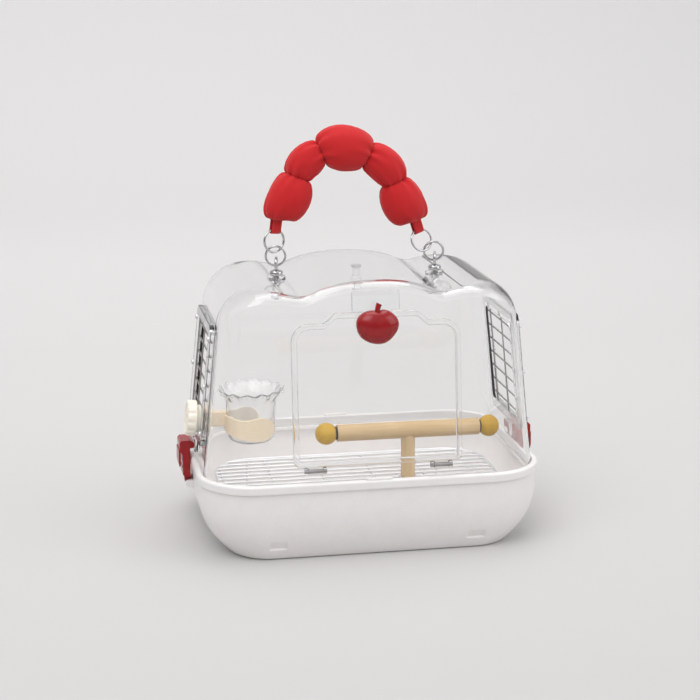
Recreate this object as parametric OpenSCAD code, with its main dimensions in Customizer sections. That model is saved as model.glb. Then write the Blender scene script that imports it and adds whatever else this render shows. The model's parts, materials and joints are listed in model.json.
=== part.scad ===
// Bird travel carrier: moulded tub, clear cover with a door and two end windows,
// perch on a lift-out wire grate, feeding cup on a bracket, and a stuffed handle.
// Millimetres. Origin: middle of the tub's footprint on the table. X right, Y back, Z up.

/* [Tub] */
// Length of the tub over its rim
tub_length = 310; // [280:1:340]
// Depth of the tub over its rim
tub_depth = 222; // [205:1:250]
// Height of the tub to the top of its rim
tub_height = 72; // [64:1:90]
// Corner radius of the rim
tub_corner = 51; // [46:1:60]
// Corner radius of the footprint
foot_corner = 34; // [28:1:40]
// How far the footprint is in from the wall at each end
foot_in_end = 28; // [18:1:32]
// How far the footprint is in from the wall at front and back
foot_in_front = 13; // [8:1:18]
// Height over which the lower edge curves in
curve_height = 50; // [36:1:52]
// Wall thickness of the tub
tub_wall = 2.8; // [2:0.1:3.2]
// Floor thickness of the tub
tub_floor = 2.8; // [2:0.1:4]
// Height of the rim band
rim_band = 7.6; // [6:0.1:10]
// How far the rim band stands proud of the wall
rim_proud = 1.8; // [1:0.1:2.2]
// Width of the rim at the ends
rim_end = 6; // [5.6:0.1:7]
// Width of the rim at front and back
rim_front = 7; // [6.4:0.1:8]
// Side of the square dents low on the front
dent_size = 16; // [10:1:20]
// Distance of the dents from the middle
dent_x = 89; // [70:1:92]
// Length of the tab on the front rim
rim_tab = 23; // [12:1:30]

/* [Cover] */
// Wall thickness of the clear cover
cover_wall = 2.5; // [1.8:0.1:3]
// Height of the roof's middle above the rim
cover_height = 171.8; // [165:1:190]
// Corner radius of the cover at its foot
cover_corner = 44; // [40:1:46]
// Lean of the end walls in degrees
end_lean = 6; // [4:0.1:7]
// Lean of the front and back walls in degrees
front_lean = 6.16; // [4.5:0.01:7]
// Depth of the two dips beside the roof's middle
roof_dip = 13.3; // [8:0.1:15]
// Depth of the roof's shoulders below its middle
shoulder_drop = 7.1; // [5:0.1:10]
// Distance of the dips from the middle
dip_x = 61.4; // [55:0.1:66]
// Distance of the shoulders from the middle
shoulder_x = 105; // [100:1:108]
// Height of the roof's rounding at the ends
end_round = 33.7; // [28:0.1:36]
// Rounding of the roof's front and back edges
edge_round = 10; // [6:0.5:12]
// How far the cover's skirt reaches into the tub
skirt = 8; // [6:0.5:10]

/* [End windows] */
// Width of the windows
window_width = 86; // [70:1:90]
// Height of a window's lower edge above the rim
window_low = 28; // [22:1:34]
// Height of a window's upper edge above the rim
window_high = 121.5; // [110:1:126]
// Width of the retaining frames
frame_band = 8; // [6.5:0.5:9]
// Thickness of the retaining frames
frame_thick = 4.2; // [3.6:0.1:5]
// Thickness of the grille wires
grille_wire = 1.6; // [1.2:0.1:1.9]
// Distance between the horizontal grille wires
grille_pitch = 13.3; // [12:0.1:15]
// Diameter of the window screws' heads
window_screw = 5; // [4:0.5:6]

/* [Door] */
// Width of the door
door_width = 150; // [120:1:156]
// Height of the door's lower edge above the rim
door_low = 13; // [12:0.5:18]
// Height of the door's upper edge beside its hump above the rim
door_high = 137.5; // [120:0.5:140]
// Height of the hump in the middle of the door's upper edge
door_hump = 8.5; // [4:0.5:9]
// Half of the hump's flat length
hump_flat = 34; // [26:1:38]
// Length of each slope of the hump
hump_slope = 14; // [8:1:16]
// Corner radius of the door
door_corner = 16; // [10:1:20]
// Thickness of the door's sheet
door_sheet = 2.2; // [1.8:0.1:2.6]
// Width of the raised bead round the door
bead_width = 5.5; // [4:0.1:7]
// How far the bead stands proud of the sheet
bead_proud = 1.9; // [1:0.1:2.2]
// How far the door laps over the cover's opening
door_lap = 4; // [3.5:0.1:5]
// Distance of the two hinges from the middle
hinge_x = 56; // [45:1:58]
// Length of one hinge
hinge_length = 19; // [16:1:30]
// Diameter of the hinge pins
hinge_pin = 2.5; // [2:0.1:2.8]
// Width of the clear catch above the door
catch_width = 42; // [38:1:60]
// Height of the clear catch
catch_height = 17; // [12:0.5:18]
// Width of the fruit knob
fruit_width = 37.5; // [30:0.5:40]
// Height of the fruit knob without its stem
fruit_height = 31; // [26:0.5:32]
// How far the fruit knob stands out
fruit_depth = 15; // [12:0.5:18]
// Diameter of the fruit knob's screw
knob_screw_d = 4; // [3:0.5:5]

/* [Perch and grate] */
// Length of the wire grate
grate_length = 265; // [240:1:272]
// Depth of the wire grate
grate_depth = 138; // [136:1:170]
// Corner radius of the grate
grate_corner = 37; // [30:1:42]
// Height of the top of the grate
grate_top = 45; // [42:1:50]
// Thickness of the grate's frame wire
grate_frame = 3.2; // [2.6:0.1:3.6]
// Thickness of the grate's other wires
grate_wire = 2.2; // [1.8:0.1:2.6]
// Distance between the long wires
long_pitch = 11; // [9:0.5:12]
// Distance between the cross wires
cross_pitch = 47.2; // [40:0.1:50]
// Distance of the perch post from the middle
perch_x = 44.5; // [40:0.5:50]
// Height of the perch above the table
perch_height = 91; // [84:1:96]
// Diameter of the perch
perch_d = 15.6; // [12:0.2:18]
// Length of the perch between its balls
perch_length = 133; // [110:1:136]
// Diameter of the perch's balls
bead_d = 20.2; // [18:0.2:22]
// Diameter of the perch post
post_d = 13; // [10:0.5:15]
// Diameter of the perch stud
stud_d = 5; // [4:0.5:6]

/* [Feeding cup] */
// Distance of the cup's axis from the middle
cup_x = 102.4; // [98:0.2:103]
// Distance of the cup's axis in front of the middle
cup_y = 30; // [28:1:31]
// Diameter of the cup's rim
cup_d = 59; // [52:0.5:59.5]
// Diameter of the cup's bottom
cup_foot_d = 42.6; // [40:0.1:44]
// Height of the cup
cup_height = 48; // [40:1:50]
// Wall thickness of the cup
cup_wall = 1.8; // [1.4:0.1:2.4]
// Number of waves round the cup's rim
cup_waves = 14; // [8:1:16]
// Width of the bracket's wavy band
band_height = 20; // [14:1:21]
// Thickness of the bracket's wavy band
band_thick = 2.6; // [2:0.1:3]
// Diameter of the bracket's knob
cup_knob_d = 32; // [26:1:34]
// Length of the bracket's knob
cup_knob_length = 8.5; // [8:0.5:14]
// Diameter of the bracket's bolt
cup_bolt_d = 6; // [5:0.5:7]

/* [Side latches] */
// Width of the side latches
latch_width = 22; // [16:1:28]
// Height of the latch hinge above the table
latch_low = 47; // [45:0.5:49]
// Height of the latch from its hinge to its top
latch_height = 41; // [39:0.5:46]
// Thickness of the latch
latch_thick = 7; // [6:0.1:9]
// Length of the finger lip outside the latch
lip_length = 14; // [10:0.5:18]
// Diameter of the latch pins
latch_pin = 3; // [2.4:0.1:3.4]

/* [Handle] */
// Distance of the eye bolts from the middle
eye_x = 73.3; // [66:0.1:80]
// Height of the eye centres above the roof's middle
eye_rise = 2.7; // [2.4:0.1:6]
// Diameter of the eye's ring at the middle of its wire
eye_d = 10; // [9.6:0.1:12]
// Thickness of the eye's wire
eye_wire = 2.6; // [2:0.1:2.9]
// Diameter of the eye bolt's shank
shank_d = 5; // [4:0.5:6]
// Diameter of the small rings at the middle of their wire
small_ring = 17.6; // [16:0.2:19]
// Diameter of the big rings at the middle of their wire
big_ring = 20.4; // [19:0.2:22]
// Thickness of the rings' wire
ring_wire = 2.1; // [1.6:0.1:2.2]
// Width of the webbing straps
strap_width = 9.5; // [7:0.5:11]
// Thickness of the webbing
strap_thick = 1.2; // [0.8:0.1:1.4]
// Fullness of the handle's stuffing
plush_fill = 1; // [0.85:0.01:1.06]
// Tightness of the handle's gathers
plush_pinch = 0.66; // [0.35:0.01:0.75]
// Thickness of the handle against its height
plush_flat = 0.86; // [0.7:0.01:1]

/* [Hidden] */
$fn = 0;
$fa = 12;
$fs = 1;
// Running clearance of pins and shafts, on the radius
fit = 0.05;
// Gap between pieces that move past each other
gap = 0.35;
// Wire pressed into wire where they are welded
weld = 0.3;
// Points on a quarter of an outline, and on half a roof profile
corner_steps = 7;
roof_steps = 11;

half_l = tub_length / 2;
half_d = tub_depth / 2;
ledge_z = tub_height - skirt - gap;
ledge_width = 3;

// Foot of the cover where it passes the rim, and its slopes.
cover_l = half_l - rim_end;
cover_d = half_d - rim_front;
slope_end = tan(end_lean);
slope_front = tan(front_lean);
roof_z = tub_height + cover_height;
shoulder_z = roof_z - shoulder_drop;
end_z = shoulder_z - end_round;
corner_top = 38;
corner_roof = 22;

function cover_hx(z) = cover_l - slope_end * (z - tub_height);
function cover_hy(z) = cover_d - slope_front * (z - tub_height);
function cover_r(z) = cover_corner
    + (corner_top - cover_corner) * (z - tub_height) / (end_z - tub_height);
end_in = cover_hx(end_z) - shoulder_x;

// Height of the roof's outer face along X.
function roof_line(x) = abs(x) < dip_x
    ? roof_z - roof_dip * pow(abs(x) / dip_x, 2.5)
    : roof_z - roof_dip + (roof_dip - shoulder_drop)
        * (1 - pow(1 - min(1, (abs(x) - dip_x) / (shoulder_x - dip_x)), 2.2));
// The same, its valleys rounded.
function roof_at(x) = (roof_line(x - 6) + roof_line(x - 3) + roof_line(x) + roof_line(x + 3)
    + roof_line(x + 6)) / 5;

// Wall of the tub: share of the foot inset left at a height.
function foot_share(z) = pow(max(0, 1 - z / curve_height), 2.2);
function tub_hx(z) = half_l - rim_proud - foot_in_end * foot_share(z);
function tub_hy(z) = half_d - rim_proud - foot_in_front * foot_share(z);
function tub_r(z) = tub_corner - rim_proud
    - (tub_corner - rim_proud - foot_corner) * foot_share(z);

// Door, in the plane of the front wall: s runs up the wall from the rim's height.
wall_up = 1 / cos(front_lean);
door_foot = door_low * wall_up;
door_top = door_high * wall_up;
hinge_r = hinge_pin / 2 + 1.5;
hinge_s = door_foot - hinge_r - 0.4;
hinge_out = hinge_r + gap;
hinge_y = -cover_d + hinge_s * sin(front_lean) - hinge_out * cos(front_lean);
hinge_z = tub_height + hinge_s * cos(front_lean) + hinge_out * sin(front_lean);
fruit_s = door_top - 4;

// Windows, in the plane of an end wall.
end_up = 1 / cos(end_lean);
win_low = window_low * end_up;
win_high = window_high * end_up;
frame_gap = 0.05;
rebate = 2 * grille_wire - weld + 2 * frame_gap;
bolt_s = win_low + 7 + grille_pitch / 2;
bolt_z = tub_height + bolt_s * cos(end_lean);

// Perch and grate.
perch_y = -2 * long_pitch;
cross_shift = -7.2;
long_z = grate_top - grate_wire / 2;
cross_z = long_z - grate_wire + weld;
frame_z = long_z - grate_frame / 2 + grate_wire / 2 - weld;
stud_washer = 1.5;

// Cup and its band.
cup_z = bolt_z - 22;
function cup_r(z) = let (u = max(0, min(1, (z - cup_z) / cup_height)))
    cup_foot_d / 2 + 2 * u + (cup_d / 2 - cup_foot_d / 2 - 2) * pow(max(0, (u - 0.78) / 0.22), 1.3);

// Latches.
pin_out = latch_pin / 2 + 2.4;
pin_x = tub_hx(latch_low) + pin_out;
latch_in = half_l + 0.5;
lug_out = cover_hx(tub_height + latch_height - 33) + 3.2;
hook_z = latch_low + latch_height - 7.5;

// Handle. Lobe centres (x, z from the eyes) and half sizes, from left to right.
eye_z = roof_z + eye_rise;
eye_r = eye_d / 2;
lobes = [[-60.8, 59, 20.6], [-45.2, 91, 16.6], [-12.5, 102.7, 22], [25.9, 85.7, 17.2],
    [43.7, 50.8, 20.8]];
small_at = [[-0.6, 6.8], [-1.1, 6.6]];
big_at = [[-1.7, 20.5], [-12.5, 17.2]];
strap_at = [[0.8, 39.9], [-18.3, 35.6]];
small_twist = -12;
big_twist = 24;

// ---- Shapes shared by several pieces ----

// Front half of a rounded rectangle, left to right: [kind, x or angle].
function front_half(xs) = concat(
    [for (k = [0:corner_steps]) [-1, 90 * k / corner_steps]],
    [for (x = xs) [0, x]],
    [for (k = [corner_steps:-1:0]) [1, 90 * k / corner_steps]]);

// Point of a rounded rectangle for one entry of front_half().
function rect_point(e, hx, hy, r) = e[0] == 0
    ? [e[1], -hy]
    : [e[0] * (hx - r + r * cos(e[1])), -(hy - r + r * sin(e[1]))];

// A whole ring, counter-clockwise from above, from its front half.
function whole(front) = concat(front,
    [for (k = [len(front) - 1:-1:0]) [front[k][0], -front[k][1], front[k][2]]]);

// A level ring of a rounded rectangle.
function level(hx, hy, r, z) = whole([for (e = front_half([]))
    let (p = rect_point(e, hx, hy, r)) [p[0], p[1], z]]);

// Solid through rings of equal length; ends closed by strips from front to back.
module loft(rings) {
    n = len(rings[0]);
    m = len(rings);
    h = n / 2;
    sides = [for (i = [0:m - 2], j = [0:n - 1]) each
        let (a = i * n + j, b = i * n + (j + 1) % n)
        [[a, a + n, b + n], [a, b + n, b]]];
    start = [for (j = [0:h - 2]) each strip(j, n, 0)];
    end = [for (j = [0:h - 2]) each [for (t = strip(j, n, (m - 1) * n)) [t[2], t[1], t[0]]]];
    polyhedron(points = [for (r = rings) each r], faces = concat(sides, start, end),
        convexity = 10);
}
function strip(j, n, base) = let (a = base + j, b = base + j + 1,
    c = base + n - 2 - j, d = base + n - 1 - j)
    [[a, b, c], [a, c, d]];

// Pieces that are alike on the left and the right end.
module both_ends() {
    children();
    mirror([1, 0, 0]) children();
}

// Plane of the right end wall: x outward, y back, z up the wall from the rim's height.
module end_plane(x = cover_l) {
    translate([x, 0, tub_height]) rotate([0, -end_lean, 0]) children();
}

// Plane of the front wall: x right, y into the cover, z up the wall.
module front_plane() {
    translate([0, -cover_d, tub_height]) rotate([-front_lean, 0, 0]) children();
}

// Upright plate with round corners, from y = 0 to y = t.
module plate(w, h, r, t) {
    rotate([90, 0, 0]) translate([0, 0, -t]) linear_extrude(t) plate_outline(w, h, r);
}
module plate_outline(w, h, r) {
    translate([-w / 2 + r, 0]) square([w - 2 * r, h]);
    translate([-w / 2, r]) square([w, h - 2 * r]);
    for (x = [r - w / 2, w / 2 - r], y = [r, h - r]) translate([x, y]) circle(r);
}

// Wire along X from x0 to x1.
module wire_x(x0, x1, y, z, d) {
    translate([x0, y, z]) rotate([0, 90, 0]) cylinder(d = d, h = x1 - x0);
}

// ---- Tub ----

module base_tub() {
    color([0.9, 0.88, 0.87]) difference() {
        union() {
            tub_shell();
            both_ends() latch_boss();
            // Tabs on the front and back rims.
            translate([-rim_tab / 2, -half_d + 1.2, tub_height - 1])
                cube([rim_tab, rim_front - 3.6, 3]);
            translate([-rim_tab / 2, half_d - rim_front + 2.4, tub_height - 1])
                cube([rim_tab, rim_front - 3.6, 3]);
        }
        for (s = [-1, 1]) translate([s * dent_x, 0, 0]) dent();
    }
}

module tub_shell() {
    heights = [0, 4, 9, 16, 25, 36, curve_height];
    top = tub_height;
    band = tub_height - rim_band;
    lip_x = cover_hx(tub_height - skirt) + gap + 0.1;
    lip_y = cover_hy(tub_height - skirt) + gap + 0.1;
    lip_r = cover_r(tub_height - skirt) + gap + 0.1;
    outer = [for (z = heights) level(tub_hx(z), tub_hy(z), tub_r(z), z)];
    rim = [
        level(tub_hx(band - 1), tub_hy(band - 1), tub_r(band - 1), band - 1),
        level(half_l, half_d, tub_corner, band),
        level(half_l, half_d, tub_corner, top - 1.5),
        level(half_l - 0.5, half_d - 0.5, tub_corner - 0.5, top - 0.4),
        level(half_l - 1.5, half_d - 1.5, tub_corner - 1.5, top),
        level(lip_x + 0.8, lip_y + 0.8, lip_r + 0.8, top),
        level(lip_x, lip_y, lip_r, top - 0.8),
        level(lip_x, lip_y, lip_r, ledge_z),
        level(lip_x - ledge_width, lip_y - ledge_width, lip_r - ledge_width, ledge_z),
        level(lip_x - ledge_width, lip_y - ledge_width, lip_r - ledge_width, ledge_z - 3),
        level(tub_hx(57) - tub_wall, lip_y, lip_r, ledge_z - 6.5)];
    inner = [for (k = [len(heights) - 1:-1:1]) let (z = heights[k])
        level(tub_hx(z) - tub_wall, tub_hy(z) - tub_wall - 0.6, tub_r(z) - tub_wall,
            max(z, tub_floor + 0.6 * k))];
    floor_ring = [level(tub_hx(0) - tub_wall, tub_hy(0) - tub_wall, foot_corner - tub_wall,
        tub_floor)];
    loft(concat(outer, rim, inner, floor_ring));
}

// Shallow square dent low on the front wall.
module dent() {
    translate([0, -tub_hy(18), 18]) rotate([32, 0, 0])
        translate([0, -4.4, -dent_size / 2]) plate(dent_size, dent_size, 3, 4.6);
}

// Two lugs that carry a side latch.
module latch_boss() {
    w = latch_width / 4 - gap;
    difference() {
        for (s = [-1, 1]) translate([0, s * (latch_width / 2 - w / 2), latch_low]) {
            translate([pin_x, w / 2, 0]) rotate([90, 0, 0])
                cylinder(r = latch_pin / 2 + 1.7, h = w);
            translate([tub_hx(latch_low) - 1, -w / 2, 0.1 - latch_pin / 2 - 1.7])
                cube([pin_out + 1, w, latch_pin + 3.2]);
        }
        translate([pin_x, latch_width, latch_low]) rotate([90, 0, 0])
            cylinder(d = latch_pin, h = 2 * latch_width);
    }
}

module latch_pins() {
    color([0.7, 0.7, 0.72]) both_ends()
        translate([pin_x, latch_width / 2 - 1.2, latch_low]) rotate([90, 0, 0])
            cylinder(d = latch_pin, h = latch_width - 2.4);
}

// ---- Grate ----

module floor_grate() {
    hx = grate_length / 2 - grate_frame / 2;
    hy = grate_depth / 2 - grate_frame / 2;
    r = grate_corner;
    color([0.78, 0.79, 0.8]) {
        // Frame wire.
        for (s = [-1, 1]) wire_x(-hx + r, hx - r, s * hy, frame_z, grate_frame);
        for (s = [-1, 1]) translate([s * hx, hy - r, frame_z]) rotate([90, 0, 0])
            cylinder(d = grate_frame, h = 2 * (hy - r));
        for (k = [0:3]) rotate([0, 0, 0])
            translate([(k == 0 || k == 3 ? 1 : -1) * (hx - r), (k < 2 ? 1 : -1) * (hy - r),
                frame_z])
            rotate([0, 0, 90 * k]) rotate_extrude(angle = 90) translate([r, 0])
                circle(d = grate_frame);
        // Long wires, laid on the frame and the cross wires.
        n = floor((hy - long_pitch / 2) / long_pitch);
        for (k = [0:n], s = [-1, 1]) let (y = long_pitch * (k + 0.5),
            e = frame_reach(y, hx, hy, r))
            wire_x(-e, e, s * y, long_z, grate_wire);
        // Cross wires.
        for (k = [-2:3]) let (x = cross_pitch * (k - 0.5) + cross_shift,
            e = frame_reach(abs(x), hy, hx, r))
            translate([x, e, cross_z]) rotate([90, 0, 0])
                cylinder(d = grate_wire, h = 2 * e);
        // Feet, bent down from the frame.
        for (x = [-1, 1], s = [-1, 1])
            translate([x * (hx - r), s * hy, tub_floor + gap])
                cylinder(d = grate_frame - 0.6, h = frame_z - tub_floor - gap);
    }
}
// Half length of a wire that ends on the rounded frame.
function frame_reach(y, hx, hy, r) = y < hy - r ? hx : hx - r + sqrt(r * r - pow(y - hy + r, 2));

// ---- Latches ----

module latch() {
    w = latch_width;
    arm = latch_pin / 2 + 1.6;
    top = latch_low + latch_height;
    out = latch_in + latch_thick;
    color([0.66, 0.08, 0.1]) difference() {
        union() {
            translate([0, w / 2, 0]) rotate([90, 0, 0]) linear_extrude(w) polygon([
                [latch_in, latch_low + 6.5], [latch_in, hook_z],
                [lug_out + gap, hook_z + 0.6], [lug_out + gap, top - 2.5],
                [lug_out + 3.5, top], [out + 0.8, top], [out + 2.6, top - 2],
                [out + 2.6, top - 10], [out + 0.8, top - 12], [out, top - 14],
                [out, latch_low + 8.5]]);
            // Neck and knuckle between the tub's lugs.
            translate([0, w / 4 - 0.2, 0]) rotate([90, 0, 0]) linear_extrude(w / 2 - 0.4)
                polygon([[pin_x - arm + 0.4, latch_low], [latch_in + 0.3, latch_low + 9],
                    [out - 1, latch_low + 10.5], [pin_x + arm - 0.2, latch_low]]);
            translate([pin_x, w / 4, latch_low]) rotate([90, 0, 0])
                cylinder(r = arm, h = w / 2);
            // Thin finger lip hanging outside the body.
            translate([out + 1.2, w / 2, top - 11 - lip_length]) rotate([90, 0, 0])
                linear_extrude(w) polygon([[0.4, 2], [1.6, 0], [2.4, 4],
                    [2.2, lip_length + 2], [0.4, lip_length + 2]]);
        }
        translate([pin_x, w, latch_low]) rotate([90, 0, 0])
            cylinder(r = latch_pin / 2 + fit, h = 2 * w);
    }
}
module right_latch() { latch(); }
module left_latch() { mirror([1, 0, 0]) latch(); }

// ---- Cover ----

// Ring of the cover. t: 0 at the walls' top, 90 at the roof; in: inward offset.
function cover_ring(t, in, foot = -1) = whole([for (e = front_half(roof_xs))
    let (side = e[0] == 0 ? 0 : 1 - smooth(e[1] / 90),
        x0 = e[0] == 0 ? e[1] : e[0] * (shoulder_x - corner_roof * (1 - cos(e[1]))),
        z_front = roof_at(x0) - edge_round * (1 - sin(t)),
        z_side = end_z + end_round * sin(t),
        z = foot >= 0 ? foot : side * z_side + (1 - side) * z_front,
        r = max(1, cover_r(z) * cos(t) + corner_roof * (1 - cos(t)) - in),
        p = rect_point(e, cover_hx(z) - end_in * (1 - cos(t)) - in,
            cover_hy(z) - edge_round * (1 - cos(t)) - in, r))
    [p[0], p[1], foot >= 0 ? z : z - in * sin(t)]]);
function smooth(u) = u * u * (3 - 2 * u);
roof_reach = shoulder_x - corner_roof - 1;
roof_xs = [for (k = [-roof_steps:roof_steps]) roof_reach * k / roof_steps];
turns = [90, 66, 44, 22, 0];
foot_z = tub_height - skirt;

module cover_walls() {
    loft(concat(
        [for (t = turns) cover_ring(t, cover_wall)],
        [cover_ring(0, cover_wall, foot_z), cover_ring(0, 0, foot_z)],
        [for (k = [len(turns) - 1:-1:0]) cover_ring(turns[k], 0)]));
}

module cover_shell() {
    color([0.85, 0.9, 0.93, 0.35]) difference() {
        union() {
            cover_walls();
            both_ends() {
                eye_boss();
                latch_lug();
            }
            hinge_lugs();
        }
        both_ends() {
            // Window opening; the grille bears on its edge.
            end_plane() translate([0, 0, win_low + 1.5]) rotate([0, 0, 90])
                translate([0, -1, 0]) plate(window_width - 3, win_high - win_low - 3, 5, 12);
            translate([eye_x, 0, roof_z - 30]) cylinder(r = shank_d / 2 + fit, h = 40);
            end_plane() screw_places() rotate([0, 90, 0])
                cylinder(d = window_screw / 2, h = 20, center = true);
        }
        front_plane() translate([0, 12, 0]) rotate([90, 0, 0])
            linear_extrude(24) door_outline(door_lap);
        for (s = [-1, 1]) translate([s * hinge_x - hinge_length, hinge_y, hinge_z])
            rotate([0, 90, 0]) cylinder(d = hinge_pin, h = 2 * hinge_length);
    }
}

// Round boss under each eye bolt.
module eye_boss() {
    translate([eye_x, 0, roof_at(eye_x) - cover_wall - 1.5])
        cylinder(d = shank_d + 12, h = boss_top - roof_at(eye_x) + cover_wall + 1.5);
}
boss_top = eye_z - eye_r - eye_wire / 2 - 5;

// Lug on the cover's end that the latch hooks over.
module latch_lug() {
    z = tub_height + latch_height - 33;
    translate([cover_hx(z) - 1.2, -latch_width / 2 + 2, z - 4])
        cube([lug_out - cover_hx(z) + 1.2, latch_width - 4, hook_z - 1 - z + 4]);
}

// Lugs that hold the ends of the door's hinge pins.
module hinge_lugs() {
    t = 2.6;
    for (s = [-1, 1], e = [-1, 1])
        translate([s * hinge_x + e * (hinge_length - t) / 2 - t / 2, hinge_y, hinge_z]) {
            rotate([0, 90, 0]) cylinder(r = hinge_r, h = t);
            translate([0, 0, 0.15 - hinge_r]) cube([t, hinge_out + 1.2, 2 * hinge_r - 0.3]);
        }
}

// ---- End windows ----

// Plate in an end wall's plane, from x0 to x1, its lower edge at s.
module end_slab(w, h, r, x0, x1, s) {
    translate([x1, 0, s]) rotate([0, 0, 90]) plate(w, h, r, x1 - x0);
}

module window_frame() {
    w = window_width;
    h = win_high - win_low;
    b = frame_band;
    color([0.85, 0.9, 0.93, 0.5]) end_plane() difference() {
        end_slab(w + 2 * b, h + 2 * b, 7, frame_gap, frame_thick, win_low - b);
        end_slab(w, h, 5, -1, frame_thick + 1, win_low);
        // Rebate that holds the grille against the wall.
        end_slab(w + 5, h + 5, 5, -1, rebate, win_low - 2.5);
        screw_places() rotate([0, 90, 0]) cylinder(d = window_screw / 2, h = 20, center = true);
    }
}
module right_window_frame() { window_frame(); }
module left_window_frame() { mirror([1, 0, 0]) window_frame(); }

// Six screws in the side bands of a window frame.
module screw_places() {
    y = window_width / 2 + frame_band / 2 + 0.6;
    for (e = [-1, 1], s = [win_low + 4, (win_low + win_high) / 2, win_high - 4])
        translate([0, e * y, s]) children();
}

module window_screws() {
    color([0.6, 0.6, 0.62]) both_ends() end_plane() screw_places() {
        translate([frame_thick + frame_gap, 0, 0]) rotate([0, 90, 0])
            cylinder(d = window_screw, h = 1.6);
        translate([-cover_wall, 0, 0]) rotate([0, 90, 0])
            cylinder(d = window_screw / 2 - 2 * fit, h = cover_wall + frame_thick + 1);
    }
}

module grille() {
    w = window_width;
    x = frame_gap + grille_wire / 2;
    rows = floor((win_high - 4 - bolt_s) / grille_pitch - 0.5);
    color([0.5, 0.5, 0.52]) end_plane() {
        for (k = [-1:rows]) translate([x, w / 2 + 2, bolt_s + grille_pitch * (k + 0.5)])
            rotate([90, 0, 0]) cylinder(d = grille_wire, h = w + 4);
        for (y = [-w / 2 + 3, 0, w / 2 - 3])
            translate([x + grille_wire - weld, y, win_low - 2])
                cylinder(d = grille_wire, h = win_high - win_low + 4);
    }
}
module right_grille() { grille(); }
module left_grille() { mirror([1, 0, 0]) grille(); }

// Small turned post under the middle of the roof.
module roof_hook() {
    top = roof_z - cover_wall - 0.4;
    color([0.75, 0.78, 0.8, 0.7]) translate([0, 0, top]) rotate_extrude()
        polygon([[0, 0], [4.7, 0], [4.7, -1.6], [3.1, -3.4], [3.1, -9.4], [4.7, -11.6],
            [4.7, -13.8], [3.8, -14.8], [0, -14.8]]);
}

// ---- Door ----

// Outline of the door drawn in by i, with the hump in its upper edge.
module door_outline(i) {
    w = door_width / 2 - i;
    low = door_foot + i;
    high = door_top - i;
    r = max(1, door_corner - i);
    q = max(1, 6 - i);
    hump = door_hump * wall_up;
    half = concat(
        [for (a = [-90:15:0]) [w - q + q * cos(a), low + q + q * sin(a)]],
        [for (a = [0:10:90]) [w - r + r * cos(a), high - r + r * sin(a)]],
        [for (u = [0:0.125:1]) [hump_flat + hump_slope * (1 - u), high + hump * smooth(u)]]);
    polygon(concat(half, [for (k = [len(half) - 1:-1:0]) [-half[k][0], half[k][1]]]));
}

module door() {
    arm = hinge_length - 2 * (2.6 + gap);
    color([0.85, 0.9, 0.93, 0.35]) difference() {
        union() {
            front_plane() {
                translate([0, -gap, 0]) rotate([90, 0, 0]) difference() {
                    linear_extrude(door_sheet + bead_proud) door_outline(0);
                    translate([0, 0, door_sheet]) linear_extrude(bead_proud + 1)
                        door_outline(bead_width);
                }
                for (s = [-1, 1]) translate([s * hinge_x - arm / 2 + 0.7, -gap - door_sheet - 0.3,
                    hinge_s]) cube([arm - 1.4, door_sheet + 0.1, door_foot - hinge_s + 1]);
            }
            for (s = [-1, 1]) translate([s * hinge_x - arm / 2, hinge_y, hinge_z])
                rotate([0, 90, 0]) cylinder(r = hinge_r, h = arm);
        }
        for (s = [-1, 1]) translate([s * hinge_x - arm, hinge_y, hinge_z])
            rotate([0, 90, 0]) cylinder(r = hinge_pin / 2 + fit, h = 2 * arm);
        front_plane() translate([0, 2, fruit_s]) rotate([90, 0, 0])
            cylinder(r = knob_screw_d / 2 + fit, h = 12);
    }
}

module door_hinge_pins() {
    color([0.35, 0.33, 0.33]) for (s = [-1, 1])
        translate([s * hinge_x - hinge_length / 2, hinge_y, hinge_z]) rotate([0, 90, 0])
            cylinder(d = hinge_pin, h = hinge_length);
}

// Clear rectangle on the cover above the door, with a bevelled top.
module door_catch() {
    h = catch_height;
    s = (door_high + door_hump) * wall_up + 0.9;
    t = door_sheet + 1;
    color([0.85, 0.9, 0.93, 0.5]) front_plane() translate([catch_width / 2, 0, s])
        rotate([0, -90, 0]) linear_extrude(catch_width)
            polygon([[0, -0.05], [0, -t], [h - 3.5, -t], [h, -t + 1.8], [h, -0.05]]);
}

// Ring of the fruit, seen from the front: full size k, at depth d.
function fruit_ring(k, d) = [for (j = [0:31]) let (a = 180 + 360 * (j + 0.5) / 32,
    x = fruit_width / 2 * k * cos(a) * (1 + 0.07 * sin(a)),
    dip = sin(a) > 0 ? 1.4 * k * exp(-pow(x / 6, 2)) : 0,
    z = fruit_height / 2 * k * (sin(a) + 0.05 * pow(cos(a), 4)) - dip)
    [x, z, d]];

module fruit_knob() {
    back = gap + door_sheet + bead_proud + gap;
    body = fruit_depth - 2.2;
    color([0.6, 0.07, 0.1]) front_plane() translate([0, 0, fruit_s]) difference() {
        rotate([90, 0, 0]) {
            loft(concat([fruit_ring(0.86, back), fruit_ring(0.95, back + 0.8)],
                [for (u = [0.2, 0.36, 0.52, 0.66, 0.79, 0.89, 0.96, 1])
                    fruit_ring(0.06 + 0.94 * pow(1 - pow(u, 2.6), 0.5), back + u * body)]));
            // Neck that keeps the fruit off the door, and the stem.
            translate([0, 0, 2 * gap + door_sheet]) cylinder(d = knob_screw_d + 6,
                h = bead_proud + 2);
            translate([0, 0, back + 1.2]) linear_extrude(3.2) polygon([
                [-1.4, fruit_height / 2 - 4], [1.4, fruit_height / 2 - 4],
                [1.7, fruit_height / 2 + 1.6], [4.6, fruit_height / 2 + 3.2],
                [3.6, fruit_height / 2 + 4.8], [-2, fruit_height / 2 + 5.2],
                [-4, fruit_height / 2 + 3.4], [-3.2, fruit_height / 2 + 2]]);
        }
        translate([0, 0, 0]) rotate([90, 0, 0])
            cylinder(d = knob_screw_d + 0.02, h = back + 6);
    }
}

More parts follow.
